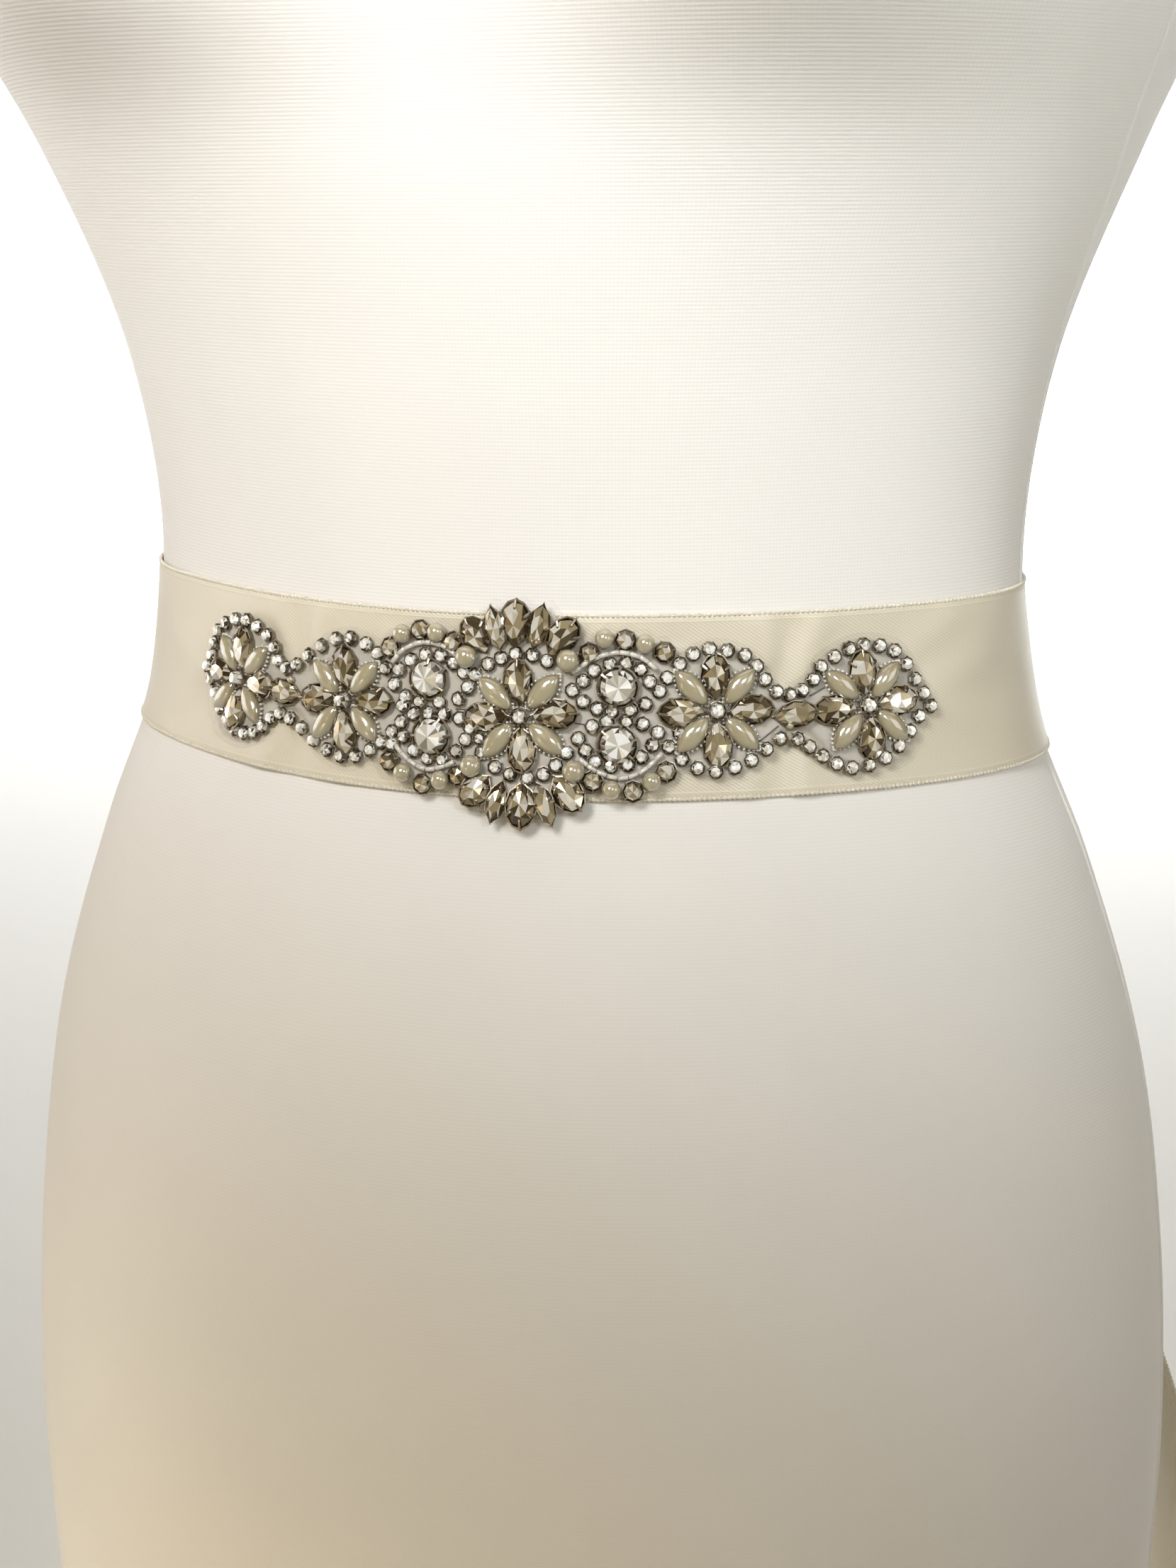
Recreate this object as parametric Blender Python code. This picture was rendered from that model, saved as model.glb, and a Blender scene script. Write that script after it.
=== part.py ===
"""Bridal sash tied round a limbless dress form.

Metres, Z up. The form stands on z = 0 with its front facing -Y, and the sash runs round its waist.
The sash is a satin ribbon with an appliqué of set stones at the front and a knot with two tails at the back.
Round the form, angle 0 is the front and a quarter turn is its +X side.
"""

import math

import bpy
import numpy as np
from mathutils import Vector
from mathutils.geometry import delaunay_2d_cdt

MM = 0.001
WAIST_Z = 0.330
COLUMNS = 60

# Form sections: height, half width, front depth, back depth, how far the corners are drawn in
FORM_ROWS = np.array((
    (0.000, 0.1410, 0.1170, 0.0990, 0.02),
    (0.080, 0.1474, 0.1180, 0.1090, 0.02),
    (0.140, 0.1499, 0.1150, 0.1160, 0.02),
    (0.190, 0.1473, 0.1110, 0.1130, 0.03),
    (0.240, 0.1398, 0.1020, 0.1040, 0.04),
    (0.285, 0.1258, 0.0880, 0.0930, 0.05),
    (0.320, 0.1120, 0.0785, 0.0840, 0.05),
    (0.355, 0.1083, 0.0750, 0.0820, 0.05),
    (0.400, 0.1142, 0.0800, 0.0845, 0.04),
    (0.450, 0.1327, 0.0930, 0.0930, 0.02),
    (0.500, 0.1545, 0.1060, 0.1010, 0.01),
    (0.550, 0.1640, 0.1000, 0.1090, 0.01),
    (0.600, 0.1700, 0.0880, 0.1060, 0.01),
    (0.640, 0.1750, 0.0750, 0.0980, 0.01),
    (0.665, 0.1720, 0.0650, 0.0900, 0.01),
    (0.685, 0.1540, 0.0570, 0.0800, 0.01),
    (0.700, 0.1220, 0.0510, 0.0700, 0.00),
    (0.712, 0.0850, 0.0480, 0.0620, 0.00),
    (0.725, 0.0600, 0.0475, 0.0580, 0.00),
    (0.750, 0.0540, 0.0470, 0.0550, 0.00),
    (0.785, 0.0540, 0.0480, 0.0550, 0.00),
))
FORM_HEIGHTS = (
    0.003, 0.030, 0.060, 0.090, 0.120, 0.150, 0.180, 0.210, 0.235, 0.258, 0.278, 0.295, 0.307, 0.317,
    0.327, 0.337, 0.347, 0.357, 0.370, 0.385, 0.400, 0.415, 0.428, 0.440, 0.452, 0.465, 0.480, 0.495,
    0.510, 0.527, 0.545, 0.565, 0.587, 0.610, 0.632, 0.652, 0.667, 0.679, 0.688, 0.696, 0.703, 0.710,
    0.718, 0.730, 0.755, 0.783,
)
NECK_CAP = ((0.7875, 0.955), (0.7905, 0.84))
NECK_TOP = 0.792
BASE_INSET = 0.98

BUST_X = 0.082
BUST_Z = 0.500
BUST_DEPTH = 0.034
BUST_WIDTH = 0.050
BUST_BELOW = 0.036
BUST_ABOVE = 0.060

RIBBON_WIDTH = 0.040
CLOTH = 0.001
BAND_GAP = 0.00055
BAND_OUT = BAND_GAP + CLOTH
# Where the band is drawn in towards the knot: angle round the form, half width
BAND_WIDTHS = ((0.00, 0.0200), (2.30, 0.0200), (2.75, 0.0175), (3.02, 0.0140), (math.pi, 0.0140))

KNOT_GAP = 0.00045
KNOT_HALF = (0.0135, 0.0215)
KNOT_DEPTH = 0.0125
KNOT_FOLDS = 3
KNOT_GRID = (15, 12)

# Tail sections: angle in degrees, height from the waist, half width, distance off the form
RIGHT_TAIL = (
    (173.0, -0.0218, 0.0095, 0.0013),
    (170.5, -0.0450, 0.0125, 0.0014),
    (166.0, -0.0700, 0.0165, 0.0016),
    (159.5, -0.1000, 0.0195, 0.0021),
    (151.5, -0.1300, 0.0200, 0.0032),
    (142.5, -0.1580, 0.0200, 0.0060),
    (133.5, -0.1830, 0.0200, 0.0105),
    (126.0, -0.2070, 0.0200, 0.0150),
    (121.5, -0.2350, 0.0200, 0.0215),
    (119.0, -0.2650, 0.0200, 0.0280),
    (117.5, -0.3000, 0.0200, 0.0350),
)
LEFT_TAIL = (
    (-173.0, -0.0218, 0.0095, 0.0013),
    (-171.0, -0.0450, 0.0125, 0.0014),
    (-169.0, -0.0700, 0.0165, 0.0016),
    (-166.5, -0.1000, 0.0195, 0.0018),
    (-164.5, -0.1300, 0.0200, 0.0022),
    (-162.5, -0.1600, 0.0200, 0.0032),
    (-161.0, -0.1850, 0.0200, 0.0052),
    (-160.0, -0.2100, 0.0200, 0.0080),
    (-159.5, -0.2350, 0.0200, 0.0120),
    (-159.0, -0.2600, 0.0200, 0.0160),
    (-158.5, -0.2850, 0.0200, 0.0200),
)
TAIL_STEPS = 22
TAIL_ACROSS = 6
TAIL_CURL = 0.0022

APPLIQUE_S = 0.0127
APPLIQUE_V = -0.0013
APPLIQUE_GAP = 0.00045
BACKING = 0.0011
# A quarter of the backing's scalloped edge, in mm from the centre: along the ribbon, up
BACKING_EDGE = (
    (0.0, 25.5), (3.1, 23.9), (6.4, 24.9), (8.9, 21.9), (12.3, 22.0), (14.0, 20.0), (14.6, 17.6),
    (16.2, 18.6), (18.2, 20.0), (20.5, 19.0), (22.9, 20.0), (25.0, 18.6), (27.0, 18.7), (29.0, 17.0),
    (31.2, 17.0), (32.8, 15.0), (34.4, 14.4), (36.8, 15.4), (40.8, 16.4), (45.0, 15.9), (49.2, 14.2),
    (52.6, 11.4), (54.6, 8.2), (56.3, 6.4), (58.3, 6.0), (60.4, 6.9), (62.4, 8.8), (63.9, 11.5),
    (67.6, 13.9), (71.4, 15.5), (75.5, 16.0), (80.2, 15.4), (84.6, 13.8), (87.9, 9.8), (89.9, 5.9),
    (92.2, 2.4), (93.6, 0.0),
)
FLOWERS = (-75.3, -41.6, 0.0, 41.6, 75.3)
PETAL_R = 7.45
# Stones, in mm: outline, length, width, height
DROP = ("drop", 9.0, 5.0, 2.7)
PEARL = ("navette", 9.6, 3.7, 2.4)
HEART = ("round", 3.0, 3.0, 2.2)
ROUND = ("round", 7.2, 7.2, 3.6)
FAN_DROP = ("drop", 8.4, 4.7, 3.0)
FAN_NAVETTE = ("navette", 8.8, 3.5, 2.8)
BIG_PEARL = ("round", 4.3, 4.3, 3.6)
OUTLINES = {
    "drop": ((-0.50, 0.00), (-0.16, 0.33), (0.18, 0.50), (0.44, 0.31), (0.50, 0.00), (0.44, -0.31),
             (0.18, -0.50), (-0.16, -0.33)),
    "navette": ((-0.50, 0.00), (-0.20, 0.42), (0.20, 0.42), (0.50, 0.00), (0.20, -0.42), (-0.20, -0.42)),
    "round": ((0.50, 0.00), (0.354, 0.354), (0.00, 0.50), (-0.354, 0.354), (-0.50, 0.00),
              (-0.354, -0.354), (0.00, -0.50), (0.354, -0.354)),
}
TABLE = 0.58
GRID_STEP = 6.0


def smooth(table, column, z):
    """Smooth curve through one column of a table whose first column rises."""
    x = table[:, 0]
    v = table[:, column]
    h = np.diff(x)
    d = np.diff(v) / h
    m = np.empty_like(v)
    m[1:-1] = (d[:-1] * h[1:] + d[1:] * h[:-1]) / (h[1:] + h[:-1])
    m[0] = d[0]
    m[-1] = d[-1]
    z = np.clip(z, x[0], x[-1])
    i = np.clip(np.searchsorted(x, z) - 1, 0, len(x) - 2)
    t = (z - x[i]) / h[i]
    a = (2 * t**3 - 3 * t**2 + 1) * v[i] + (t**3 - 2 * t**2 + t) * h[i] * m[i]
    b = (3 * t**2 - 2 * t**3) * v[i + 1] + (t**3 - t**2) * h[i] * m[i + 1]
    return a + b


def skin(t, z):
    """Point of the form's surface at angle t and height z."""
    t = np.asarray(t, float)
    z = np.asarray(z, float) + 0 * t
    width = smooth(FORM_ROWS, 1, z)
    front = smooth(FORM_ROWS, 2, z)
    back = smooth(FORM_ROWS, 3, z)
    corner = 1 - smooth(FORM_ROWS, 4, z) * np.sin(2 * t) ** 2
    depth = np.where(np.cos(t) > 0, front, back)
    x = width * np.sin(t) * corner
    y = -depth * np.cos(t) * corner
    reach = np.where(z < BUST_Z, BUST_BELOW, BUST_ABOVE)
    lobe = np.exp(-(((np.abs(x) - BUST_X) / BUST_WIDTH) ** 2) - ((z - BUST_Z) / reach) ** 2)
    facing = np.clip(np.cos(t) / 0.45, 0, 1)
    y = y - BUST_DEPTH * lobe * facing**2 * (3 - 2 * facing)
    return np.stack([x, y, z], -1)


def normal(t, z):
    """Unit vector out of the form's surface."""
    e = 1e-4
    along = skin(np.asarray(t) + e, z) - skin(np.asarray(t) - e, z)
    up = skin(t, np.asarray(z) + e) - skin(t, np.asarray(z) - e)
    n = np.cross(along, up)
    return n / np.linalg.norm(n, axis=-1, keepdims=True)


def at_waist(t, v, out):
    """Point beside the waist: v along the surface from mid-height, out from it."""
    t = np.asarray(t, float)
    reach = RIBBON_WIDTH / 2
    run = skin(t, WAIST_Z + reach) - skin(t, WAIST_Z - reach)
    z = WAIST_Z + np.asarray(v) * RIBBON_WIDTH / np.linalg.norm(run, axis=-1)
    return skin(t, z) + np.asarray(out)[..., None] * normal(t, z)


WAIST_T = np.linspace(-math.pi, math.pi, 1441)
WAIST_S = np.concatenate([[0], np.cumsum(np.linalg.norm(np.diff(skin(WAIST_T, WAIST_Z), axis=0), axis=1))])
WAIST_S = WAIST_S - WAIST_S[len(WAIST_S) // 2]


def on_applique(s, v, out):
    """Point of the appliqué: s and v in mm from its centre, out in metres from the form."""
    t = np.interp(APPLIQUE_S + np.asarray(s) * MM, WAIST_S, WAIST_T)
    return at_waist(t, APPLIQUE_V + np.asarray(v) * MM, np.asarray(out) + 0 * t)


def add_node(name, points, faces, colour, roughness, metallic=0.0):
    """New mesh object with its own material."""
    mesh = bpy.data.meshes.new(name)
    mesh.from_pydata([tuple(p) for p in points], [], [tuple(f) for f in faces])
    mesh.validate()
    obj = bpy.data.objects.new(name, mesh)
    bpy.context.scene.collection.objects.link(obj)
    material = bpy.data.materials.new(name)
    material.use_nodes = True
    shader = material.node_tree.nodes["Principled BSDF"]
    shader.inputs["Base Color"].default_value = (*colour, 1.0)
    shader.inputs["Roughness"].default_value = roughness
    shader.inputs["Metallic"].default_value = metallic
    mesh.materials.append(material)
    return obj


def ring_faces(rings, count, closed_rings=False):
    """Quads between rings of count points each, turning outwards when the rings climb anticlockwise."""
    faces = []
    for r in range(rings if closed_rings else rings - 1):
        low = r * count
        high = (r + 1) % rings * count
        for c in range(count):
            d = (c + 1) % count
            faces.append((low + c, low + d, high + d, high + c))
    return faces


def build_form():
    t = np.arange(COLUMNS) * 2 * math.pi / COLUMNS
    rings = [skin(t, 0.0) * (BASE_INSET, BASE_INSET, 1.0)]
    rings += [skin(t, z) for z in FORM_HEIGHTS]
    for z, scale in NECK_CAP:
        ring = skin(t, FORM_HEIGHTS[-1]) * (scale, scale, 1.0)
        ring[:, 2] = z
        rings.append(ring)
    points = np.concatenate(rings + [[(0.0, 0.002, NECK_TOP)], [(0.0, 0.0, 0.0)]])
    faces = ring_faces(len(rings), COLUMNS)
    top = len(points) - 2
    base = len(points) - 1
    last = (len(rings) - 1) * COLUMNS
    for c in range(COLUMNS):
        d = (c + 1) % COLUMNS
        faces.append((last + c, last + d, top))
        faces.append((d, c, base))
    return add_node("dress_form", points, faces, (0.80, 0.77, 0.71), 0.85)


def build_band():
    angles = np.arange(COLUMNS) * 2 * math.pi / COLUMNS
    knots, widths = np.array(BAND_WIDTHS).T
    half = np.interp(np.minimum(angles, 2 * math.pi - angles), knots, widths)
    across = (-1.0, -1 / 3, 1 / 3, 1.0)
    loop = [(u, BAND_OUT) for u in across] + [(u, BAND_GAP) for u in reversed(across)]
    sections = [at_waist(angles, u * half, np.full(COLUMNS, out)) for u, out in loop]
    points = np.stack(sections, 1).reshape(-1, 3)
    faces = ring_faces(COLUMNS, len(loop), closed_rings=True)
    return add_node("sash_band", points, [f[::-1] for f in faces], (0.68, 0.63, 0.50), 0.35)


def wall(name, front, back, colour, roughness):
    """Closed wall between two grids of points; the front grid faces outwards."""
    rows, columns = front.shape[:2]
    index = np.arange(rows * columns).reshape(rows, columns)
    quads = [
        (index[r, c], index[r, c + 1], index[r + 1, c + 1], index[r + 1, c])
        for r in range(rows - 1)
        for c in range(columns - 1)
    ]
    shift = rows * columns
    faces = quads + [tuple(shift + i for i in reversed(quad)) for quad in quads]
    rim = list(index[0]) + list(index[1:, -1]) + list(index[-1, -2::-1]) + list(index[-2:0:-1, 0])
    for a, b in zip(rim, rim[1:] + rim[:1]):
        faces.append((b, a, a + shift, b + shift))
    points = np.concatenate([front.reshape(-1, 3), back.reshape(-1, 3)])
    return add_node(name, points, faces, colour, roughness)


def build_knot():
    """Gathered wrap of ribbon over the crossing at the back."""
    u = np.linspace(-1, 1, KNOT_GRID[0])
    w = np.linspace(-1, 1, KNOT_GRID[1])
    across, up = np.meshgrid(u, w)
    squeeze = 1 - 0.22 * (1 - up**2)
    speed = np.linalg.norm(skin(math.pi + 0.01, WAIST_Z) - skin(math.pi, WAIST_Z)) / 0.01
    t = math.pi + across * squeeze * KNOT_HALF[0] / speed
    rise = np.sqrt(np.clip(1 - across**4, 0, 1)) * np.sqrt(np.clip(1 - up**6, 0, 1))
    folds = 0.0007 * np.cos(across * KNOT_FOLDS * 2 * math.pi) * (1 - across**2)
    depth = CLOTH + (KNOT_DEPTH - CLOTH) * rise + folds * rise
    inner = BAND_OUT + KNOT_GAP
    front = at_waist(t, up * KNOT_HALF[1], inner + depth)
    back = at_waist(t, up * KNOT_HALF[1], np.full(t.shape, inner))
    return wall("knot", front, back, (0.68, 0.63, 0.50), 0.35)


def build_tail(name, rows):
    """Tail of the tie: a strip that follows its table of sections down from the knot."""
    table = np.array(rows)
    down = np.linspace(0, 1, TAIL_STEPS)
    table = np.column_stack([np.linspace(0, 1, len(table)), table])
    angle, z, half, off = (smooth(table, column, down) for column in (1, 2, 3, 4))
    t = np.radians(angle)
    z = WAIST_Z + z
    facing = normal(t, z)
    facing[:, 2] = 0
    facing /= np.linalg.norm(facing, axis=1, keepdims=True)
    middle = skin(t, z) + off[:, None] * facing
    path = np.gradient(middle, axis=0)
    path /= np.linalg.norm(path, axis=1, keepdims=True)
    side = np.cross(path, facing)
    side /= np.linalg.norm(side, axis=1, keepdims=True)
    out = np.cross(side, path)
    u = np.linspace(-1, 1, TAIL_ACROSS)
    curl = TAIL_CURL * down**2
    surface = (
        middle[:, None]
        + (half[:, None] * u)[..., None] * side[:, None]
        + (curl[:, None] * u**2)[..., None] * out[:, None]
    )
    back = surface - CLOTH / 2 * out[:, None]
    front = surface + CLOTH / 2 * out[:, None]
    return wall(name, front, back, (0.68, 0.63, 0.50), 0.35)


def mirrored_edge():
    """Whole edge of the backing, anticlockwise."""
    right = list(BACKING_EDGE[::-1])
    left = [(-s, v) for s, v in BACKING_EDGE[1:]]
    upper = right + left
    return upper + [(-s, -v) for s, v in upper[1:-1]]


def stones():
    """Every large stone: its kind, its centre, and the way its round end points, in degrees."""
    found = []
    for s in FLOWERS:
        found.append((HEART, s, 0.0, 0.0))
        for quarter in range(4):
            straight = math.radians(90 * quarter)
            slant = math.radians(90 * quarter + 45)
            found.append((DROP, s + PETAL_R * math.cos(straight), PETAL_R * math.sin(straight), 90 * quarter))
            found.append((PEARL, s + PETAL_R * math.cos(slant), PETAL_R * math.sin(slant), 90 * quarter + 45))
    for side in (-1, 1):
        found.append((DROP, side * 58.6, 0.0, 0 if side > 0 else 180))
        for up in (-1, 1):
            found.append((ROUND, side * 20.7, up * 6.5, 0.0))
            found.append((BIG_PEARL, side * 11.2, up * 12.6, 0.0))
            found.append((FAN_NAVETTE, side * 4.75, up * 19.2, 90 * up - side * up * 16))
            found.append((FAN_DROP, side * 9.3, up * 17.6, 90 * up - side * up * 33))
    for up in (-1, 1):
        found.append((FAN_DROP, 0.0, up * 19.9, 90 * up))
    return found


def stone_loops(stone):
    """Foot and table of a stone as loops of (s, v) in mm, with the table's height."""
    (outline, length, width, height), s, v, turn = stone
    turn = math.radians(turn)
    loops = []
    for scale in (1.0, TABLE):
        loop = []
        for x, y in OUTLINES[outline]:
            x, y = x * length * scale, y * width * scale
            loop.append((s + x * math.cos(turn) - y * math.sin(turn), v + x * math.sin(turn) + y * math.cos(turn)))
        loops.append(loop)
    return loops, height


def inside(point, loop):
    crossings = 0
    for (ax, ay), (bx, by) in zip(loop, loop[1:] + loop[:1]):
        if (ay > point[1]) != (by > point[1]):
            crossings += point[0] < ax + (point[1] - ay) / (by - ay) * (bx - ax)
    return crossings % 2 == 1


def nearest(point, others):
    return min(math.hypot(point[0] - s, point[1] - v) for s, v in others)


def filling(edge, taken, step, clear):
    """Grid points inside the edge that keep clear of the points already placed."""
    found = []
    for row in range(-5, 6):
        for column in range(-16, 17):
            point = ((column + 0.5 * (row % 2)) * step, row * step * 0.87)
            if inside(point, edge) and nearest(point, taken) > clear:
                found.append(point)
    return found


def triangulate(edge, loops, extra):
    """Triangles of the sheet inside the edge, with the loops as fixed lines."""
    points = list(edge)
    lines = [(i, (i + 1) % len(edge)) for i in range(len(edge))]
    for loop in loops:
        first = len(points)
        points += loop
        lines += [(first + i, first + (i + 1) % len(loop)) for i in range(len(loop))]
    points += extra
    flat, _, triangles, origins, _, _ = delaunay_2d_cdt([Vector(p) for p in points], lines, [], 0, 1e-6, True)
    assert len(flat) == len(points), "stone outlines cross"
    kept = []
    for triangle in triangles:
        triangle = tuple(origins[i][0] for i in triangle)
        middle = [sum(points[i][axis] for i in triangle) / 3 for axis in (0, 1)]
        if inside(middle, edge):
            kept.append(triangle)
    return points, kept


def build_applique():
    """Backing with the large stones and pearls raised in its outer face, plain inside."""
    edge = mirrored_edge()
    loops = []
    heights = [0.0] * len(edge)
    for stone in stones():
        pair, height = stone_loops(stone)
        loops += pair
        heights += [0.0] * len(pair[0]) + [height] * len(pair[1])
    taken = edge + [point for loop in loops for point in loop]
    outer_extra = filling(edge, taken, GRID_STEP, 2.6)
    outer, outer_faces = triangulate(edge, loops, outer_extra)
    inner_extra = filling(edge, edge, GRID_STEP, 2.6)
    inner, inner_faces = triangulate(edge, [], inner_extra)
    heights += [0.0] * (len(outer) - len(heights))
    face_out = BAND_OUT + APPLIQUE_GAP
    s, v = np.array(outer).T
    top = on_applique(s, v, face_out + BACKING + np.array(heights) * MM)
    s, v = np.array(inner).T
    under = on_applique(s, v, np.full(len(inner), face_out))
    shift = len(outer)
    faces = [tuple(face) for face in outer_faces]
    faces += [tuple(shift + i for i in reversed(face)) for face in inner_faces]
    count = len(edge)
    faces += [(i, shift + i, shift + (i + 1) % count, (i + 1) % count) for i in range(count)]
    points = np.concatenate([top, under])
    return add_node("applique", points, faces, (0.62, 0.60, 0.56), 0.25, 0.4)


def main():
    for obj in list(bpy.data.objects):
        bpy.data.objects.remove(obj)
    build_form()
    build_band()
    build_applique()
    build_knot()
    build_tail("tail_right", RIGHT_TAIL)
    build_tail("tail_left", LEFT_TAIL)


main()
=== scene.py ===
"""Bridal sash on a dress form: jersey form, satin ribbon, and an appliqué of foiled stones and pearls."""

import math

import bmesh
import bpy
import numpy as np
from mathutils import Matrix, Vector
from mathutils.geometry import delaunay_2d_cdt


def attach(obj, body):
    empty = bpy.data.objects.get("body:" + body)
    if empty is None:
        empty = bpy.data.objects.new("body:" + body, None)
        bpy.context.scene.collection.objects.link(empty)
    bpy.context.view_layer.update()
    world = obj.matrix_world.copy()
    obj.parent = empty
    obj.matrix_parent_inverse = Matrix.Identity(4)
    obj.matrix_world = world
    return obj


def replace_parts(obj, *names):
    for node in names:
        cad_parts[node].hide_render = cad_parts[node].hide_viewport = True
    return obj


bl_info = {
    "name": "Bridal sash on a dress form",
    "version": (1, 0, 0),
    "blender": (4, 5, 0),
    "location": "View3D > Sidebar > Sash",
    "description": "Builds the jersey form, the satin sash and its beaded appliqué round the packed solids",
    "category": "Object",
}

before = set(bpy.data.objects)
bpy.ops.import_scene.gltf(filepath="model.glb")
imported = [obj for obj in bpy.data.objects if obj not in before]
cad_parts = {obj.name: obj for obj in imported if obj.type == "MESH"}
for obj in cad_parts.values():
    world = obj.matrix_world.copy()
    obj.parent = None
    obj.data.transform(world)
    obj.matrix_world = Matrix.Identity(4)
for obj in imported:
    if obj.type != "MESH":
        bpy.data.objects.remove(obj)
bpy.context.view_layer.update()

MM = 0.001
WAIST_Z = 0.330
RIBBON = 0.040
RNG = np.random.default_rng(7)

# Form sections: height, half width, front depth, back depth, how far the corners are drawn in
FORM_ROWS = np.array((
    (0.000, 0.1410, 0.1170, 0.0990, 0.02),
    (0.080, 0.1474, 0.1180, 0.1090, 0.02),
    (0.140, 0.1499, 0.1150, 0.1160, 0.02),
    (0.190, 0.1473, 0.1110, 0.1130, 0.03),
    (0.240, 0.1398, 0.1020, 0.1040, 0.04),
    (0.285, 0.1258, 0.0880, 0.0930, 0.05),
    (0.320, 0.1120, 0.0785, 0.0840, 0.05),
    (0.355, 0.1083, 0.0750, 0.0820, 0.05),
    (0.400, 0.1142, 0.0800, 0.0845, 0.04),
    (0.450, 0.1327, 0.0930, 0.0930, 0.02),
    (0.500, 0.1545, 0.1060, 0.1010, 0.01),
    (0.550, 0.1640, 0.1000, 0.1090, 0.01),
    (0.600, 0.1700, 0.0880, 0.1060, 0.01),
    (0.640, 0.1750, 0.0750, 0.0980, 0.01),
    (0.665, 0.1720, 0.0650, 0.0900, 0.01),
    (0.685, 0.1540, 0.0570, 0.0800, 0.01),
    (0.700, 0.1220, 0.0510, 0.0700, 0.00),
    (0.712, 0.0850, 0.0480, 0.0620, 0.00),
    (0.725, 0.0600, 0.0475, 0.0580, 0.00),
    (0.750, 0.0540, 0.0470, 0.0550, 0.00),
    (0.785, 0.0540, 0.0480, 0.0550, 0.00),
))
BUST_X, BUST_Z, BUST_DEPTH, BUST_WIDTH, BUST_BELOW, BUST_ABOVE = 0.082, 0.500, 0.034, 0.050, 0.036, 0.060
BUST_TURN = 0.45
NECK_Z, NECK_TOP, NECK_RADIUS, NECK_ROUND = 0.783, 0.792, 0.052, 0.006

# The band's half width by the angle round the form
BAND_WIDTHS = ((0.00, 0.0200), (2.30, 0.0200), (2.75, 0.0175), (3.02, 0.0140), (math.pi, 0.0140))
# The band's cloth: how far it stands out, how far its edges draw in, its ripples and its gathers by the knot
BAND_OUT, EDGE_DRAW, EDGE_RIPPLE, LONG_RIPPLE = 0.0011, 0.0004, 0.00022, 0.00016
GATHER_FROM, GATHER_RISE, GATHER_LIFT = 0.006, 0.0006, 0.0004
# The backing: how far out, its wall, its ripple; and in mm the step of its inner points, their distance
# from the edge, and the width of its paler rim
BACKING_OUT, BACKING_WALL, BACKING_RIPPLE = 0.0019, 0.0003, 0.00012
BACKING_STEP, BACKING_CLEAR, BACKING_RIM = 1.5, 0.8, 3.4
STONES_OUT = BACKING_OUT + BACKING_WALL
KNOT_HALF = (0.0135, 0.0215)
KNOT_DEPTH, KNOT_FOOT, KNOT_BACK = 0.0122, 0.0024, 0.0018
KNOT_PLEAT, KNOT_SINK, KNOT_SKEW = 0.0020, 0.0014, 0.0012

# Tail sections: angle in degrees, height from the waist, half width, distance off the form
RIGHT_TAIL = (
    (176.2, -0.0080, 0.0062, 0.0050),
    (173.0, -0.0218, 0.0095, 0.0046),
    (170.5, -0.0450, 0.0125, 0.0036),
    (166.0, -0.0700, 0.0165, 0.0030),
    (159.5, -0.1000, 0.0195, 0.0026),
    (151.5, -0.1300, 0.0200, 0.0034),
    (142.5, -0.1580, 0.0200, 0.0060),
    (133.5, -0.1830, 0.0200, 0.0105),
    (126.0, -0.2070, 0.0200, 0.0150),
    (121.5, -0.2350, 0.0200, 0.0215),
    (119.0, -0.2650, 0.0200, 0.0280),
    (117.5, -0.3000, 0.0200, 0.0350),
)
LEFT_TAIL = (
    (-176.2, -0.0080, 0.0062, 0.0050),
    (-173.0, -0.0218, 0.0095, 0.0046),
    (-171.0, -0.0450, 0.0125, 0.0036),
    (-169.0, -0.0700, 0.0165, 0.0030),
    (-166.5, -0.1000, 0.0195, 0.0026),
    (-164.5, -0.1300, 0.0200, 0.0026),
    (-162.5, -0.1600, 0.0200, 0.0034),
    (-161.0, -0.1850, 0.0200, 0.0052),
    (-160.0, -0.2100, 0.0200, 0.0080),
    (-159.5, -0.2350, 0.0200, 0.0120),
    (-159.0, -0.2600, 0.0200, 0.0160),
    (-158.5, -0.2850, 0.0200, 0.0200),
)
TAIL_CURL, TAIL_SWAY, TAIL_CRINKLE = 0.0022, 0.0024, 0.0010
# Pleats of a tail: the deepest that is tried, how many across, and the half width past which there are none
DEEPEST_PLEAT, PLEATS, OPEN_HALF = 0.008, 2.5, 0.0198

APPLIQUE_S, APPLIQUE_V = 0.0127, -0.0013
# A quarter of the backing's scalloped edge, in mm from the centre: along the ribbon, up
BACKING_EDGE = (
    (0.0, 25.5), (3.1, 23.9), (6.4, 24.9), (8.9, 21.9), (12.3, 22.0), (14.0, 20.0), (14.6, 17.6),
    (16.2, 18.6), (18.2, 20.0), (20.5, 19.0), (22.9, 20.0), (25.0, 18.6), (27.0, 18.7), (29.0, 17.0),
    (31.2, 17.0), (32.8, 15.0), (34.4, 14.4), (36.8, 15.4), (40.8, 16.4), (45.0, 15.9), (49.2, 14.2),
    (52.6, 11.4), (54.6, 8.2), (56.3, 6.4), (58.3, 6.0), (60.4, 6.9), (62.4, 8.8), (63.9, 11.5),
    (67.6, 13.9), (71.4, 15.5), (75.5, 16.0), (80.2, 15.4), (84.6, 13.8), (87.9, 9.8), (89.9, 5.9),
    (92.2, 2.4), (93.6, 0.0),
)
# Flowers: centre along the ribbon and up in mm, tilt in degrees
FLOWERS = ((-75.6, 0.4, -3.0), (-41.8, -0.3, 4.0), (-0.2, -0.8, 4.0), (41.3, 0.4, 0.0), (75.0, -0.3, 3.0))
PETAL_R = 7.35
# Petal pearls in mm: long, wide, high; and their milled edge: long, wide
PETAL, PETAL_EDGE = (10.3, 5.0, 3.9), (10.8, 5.6)
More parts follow.
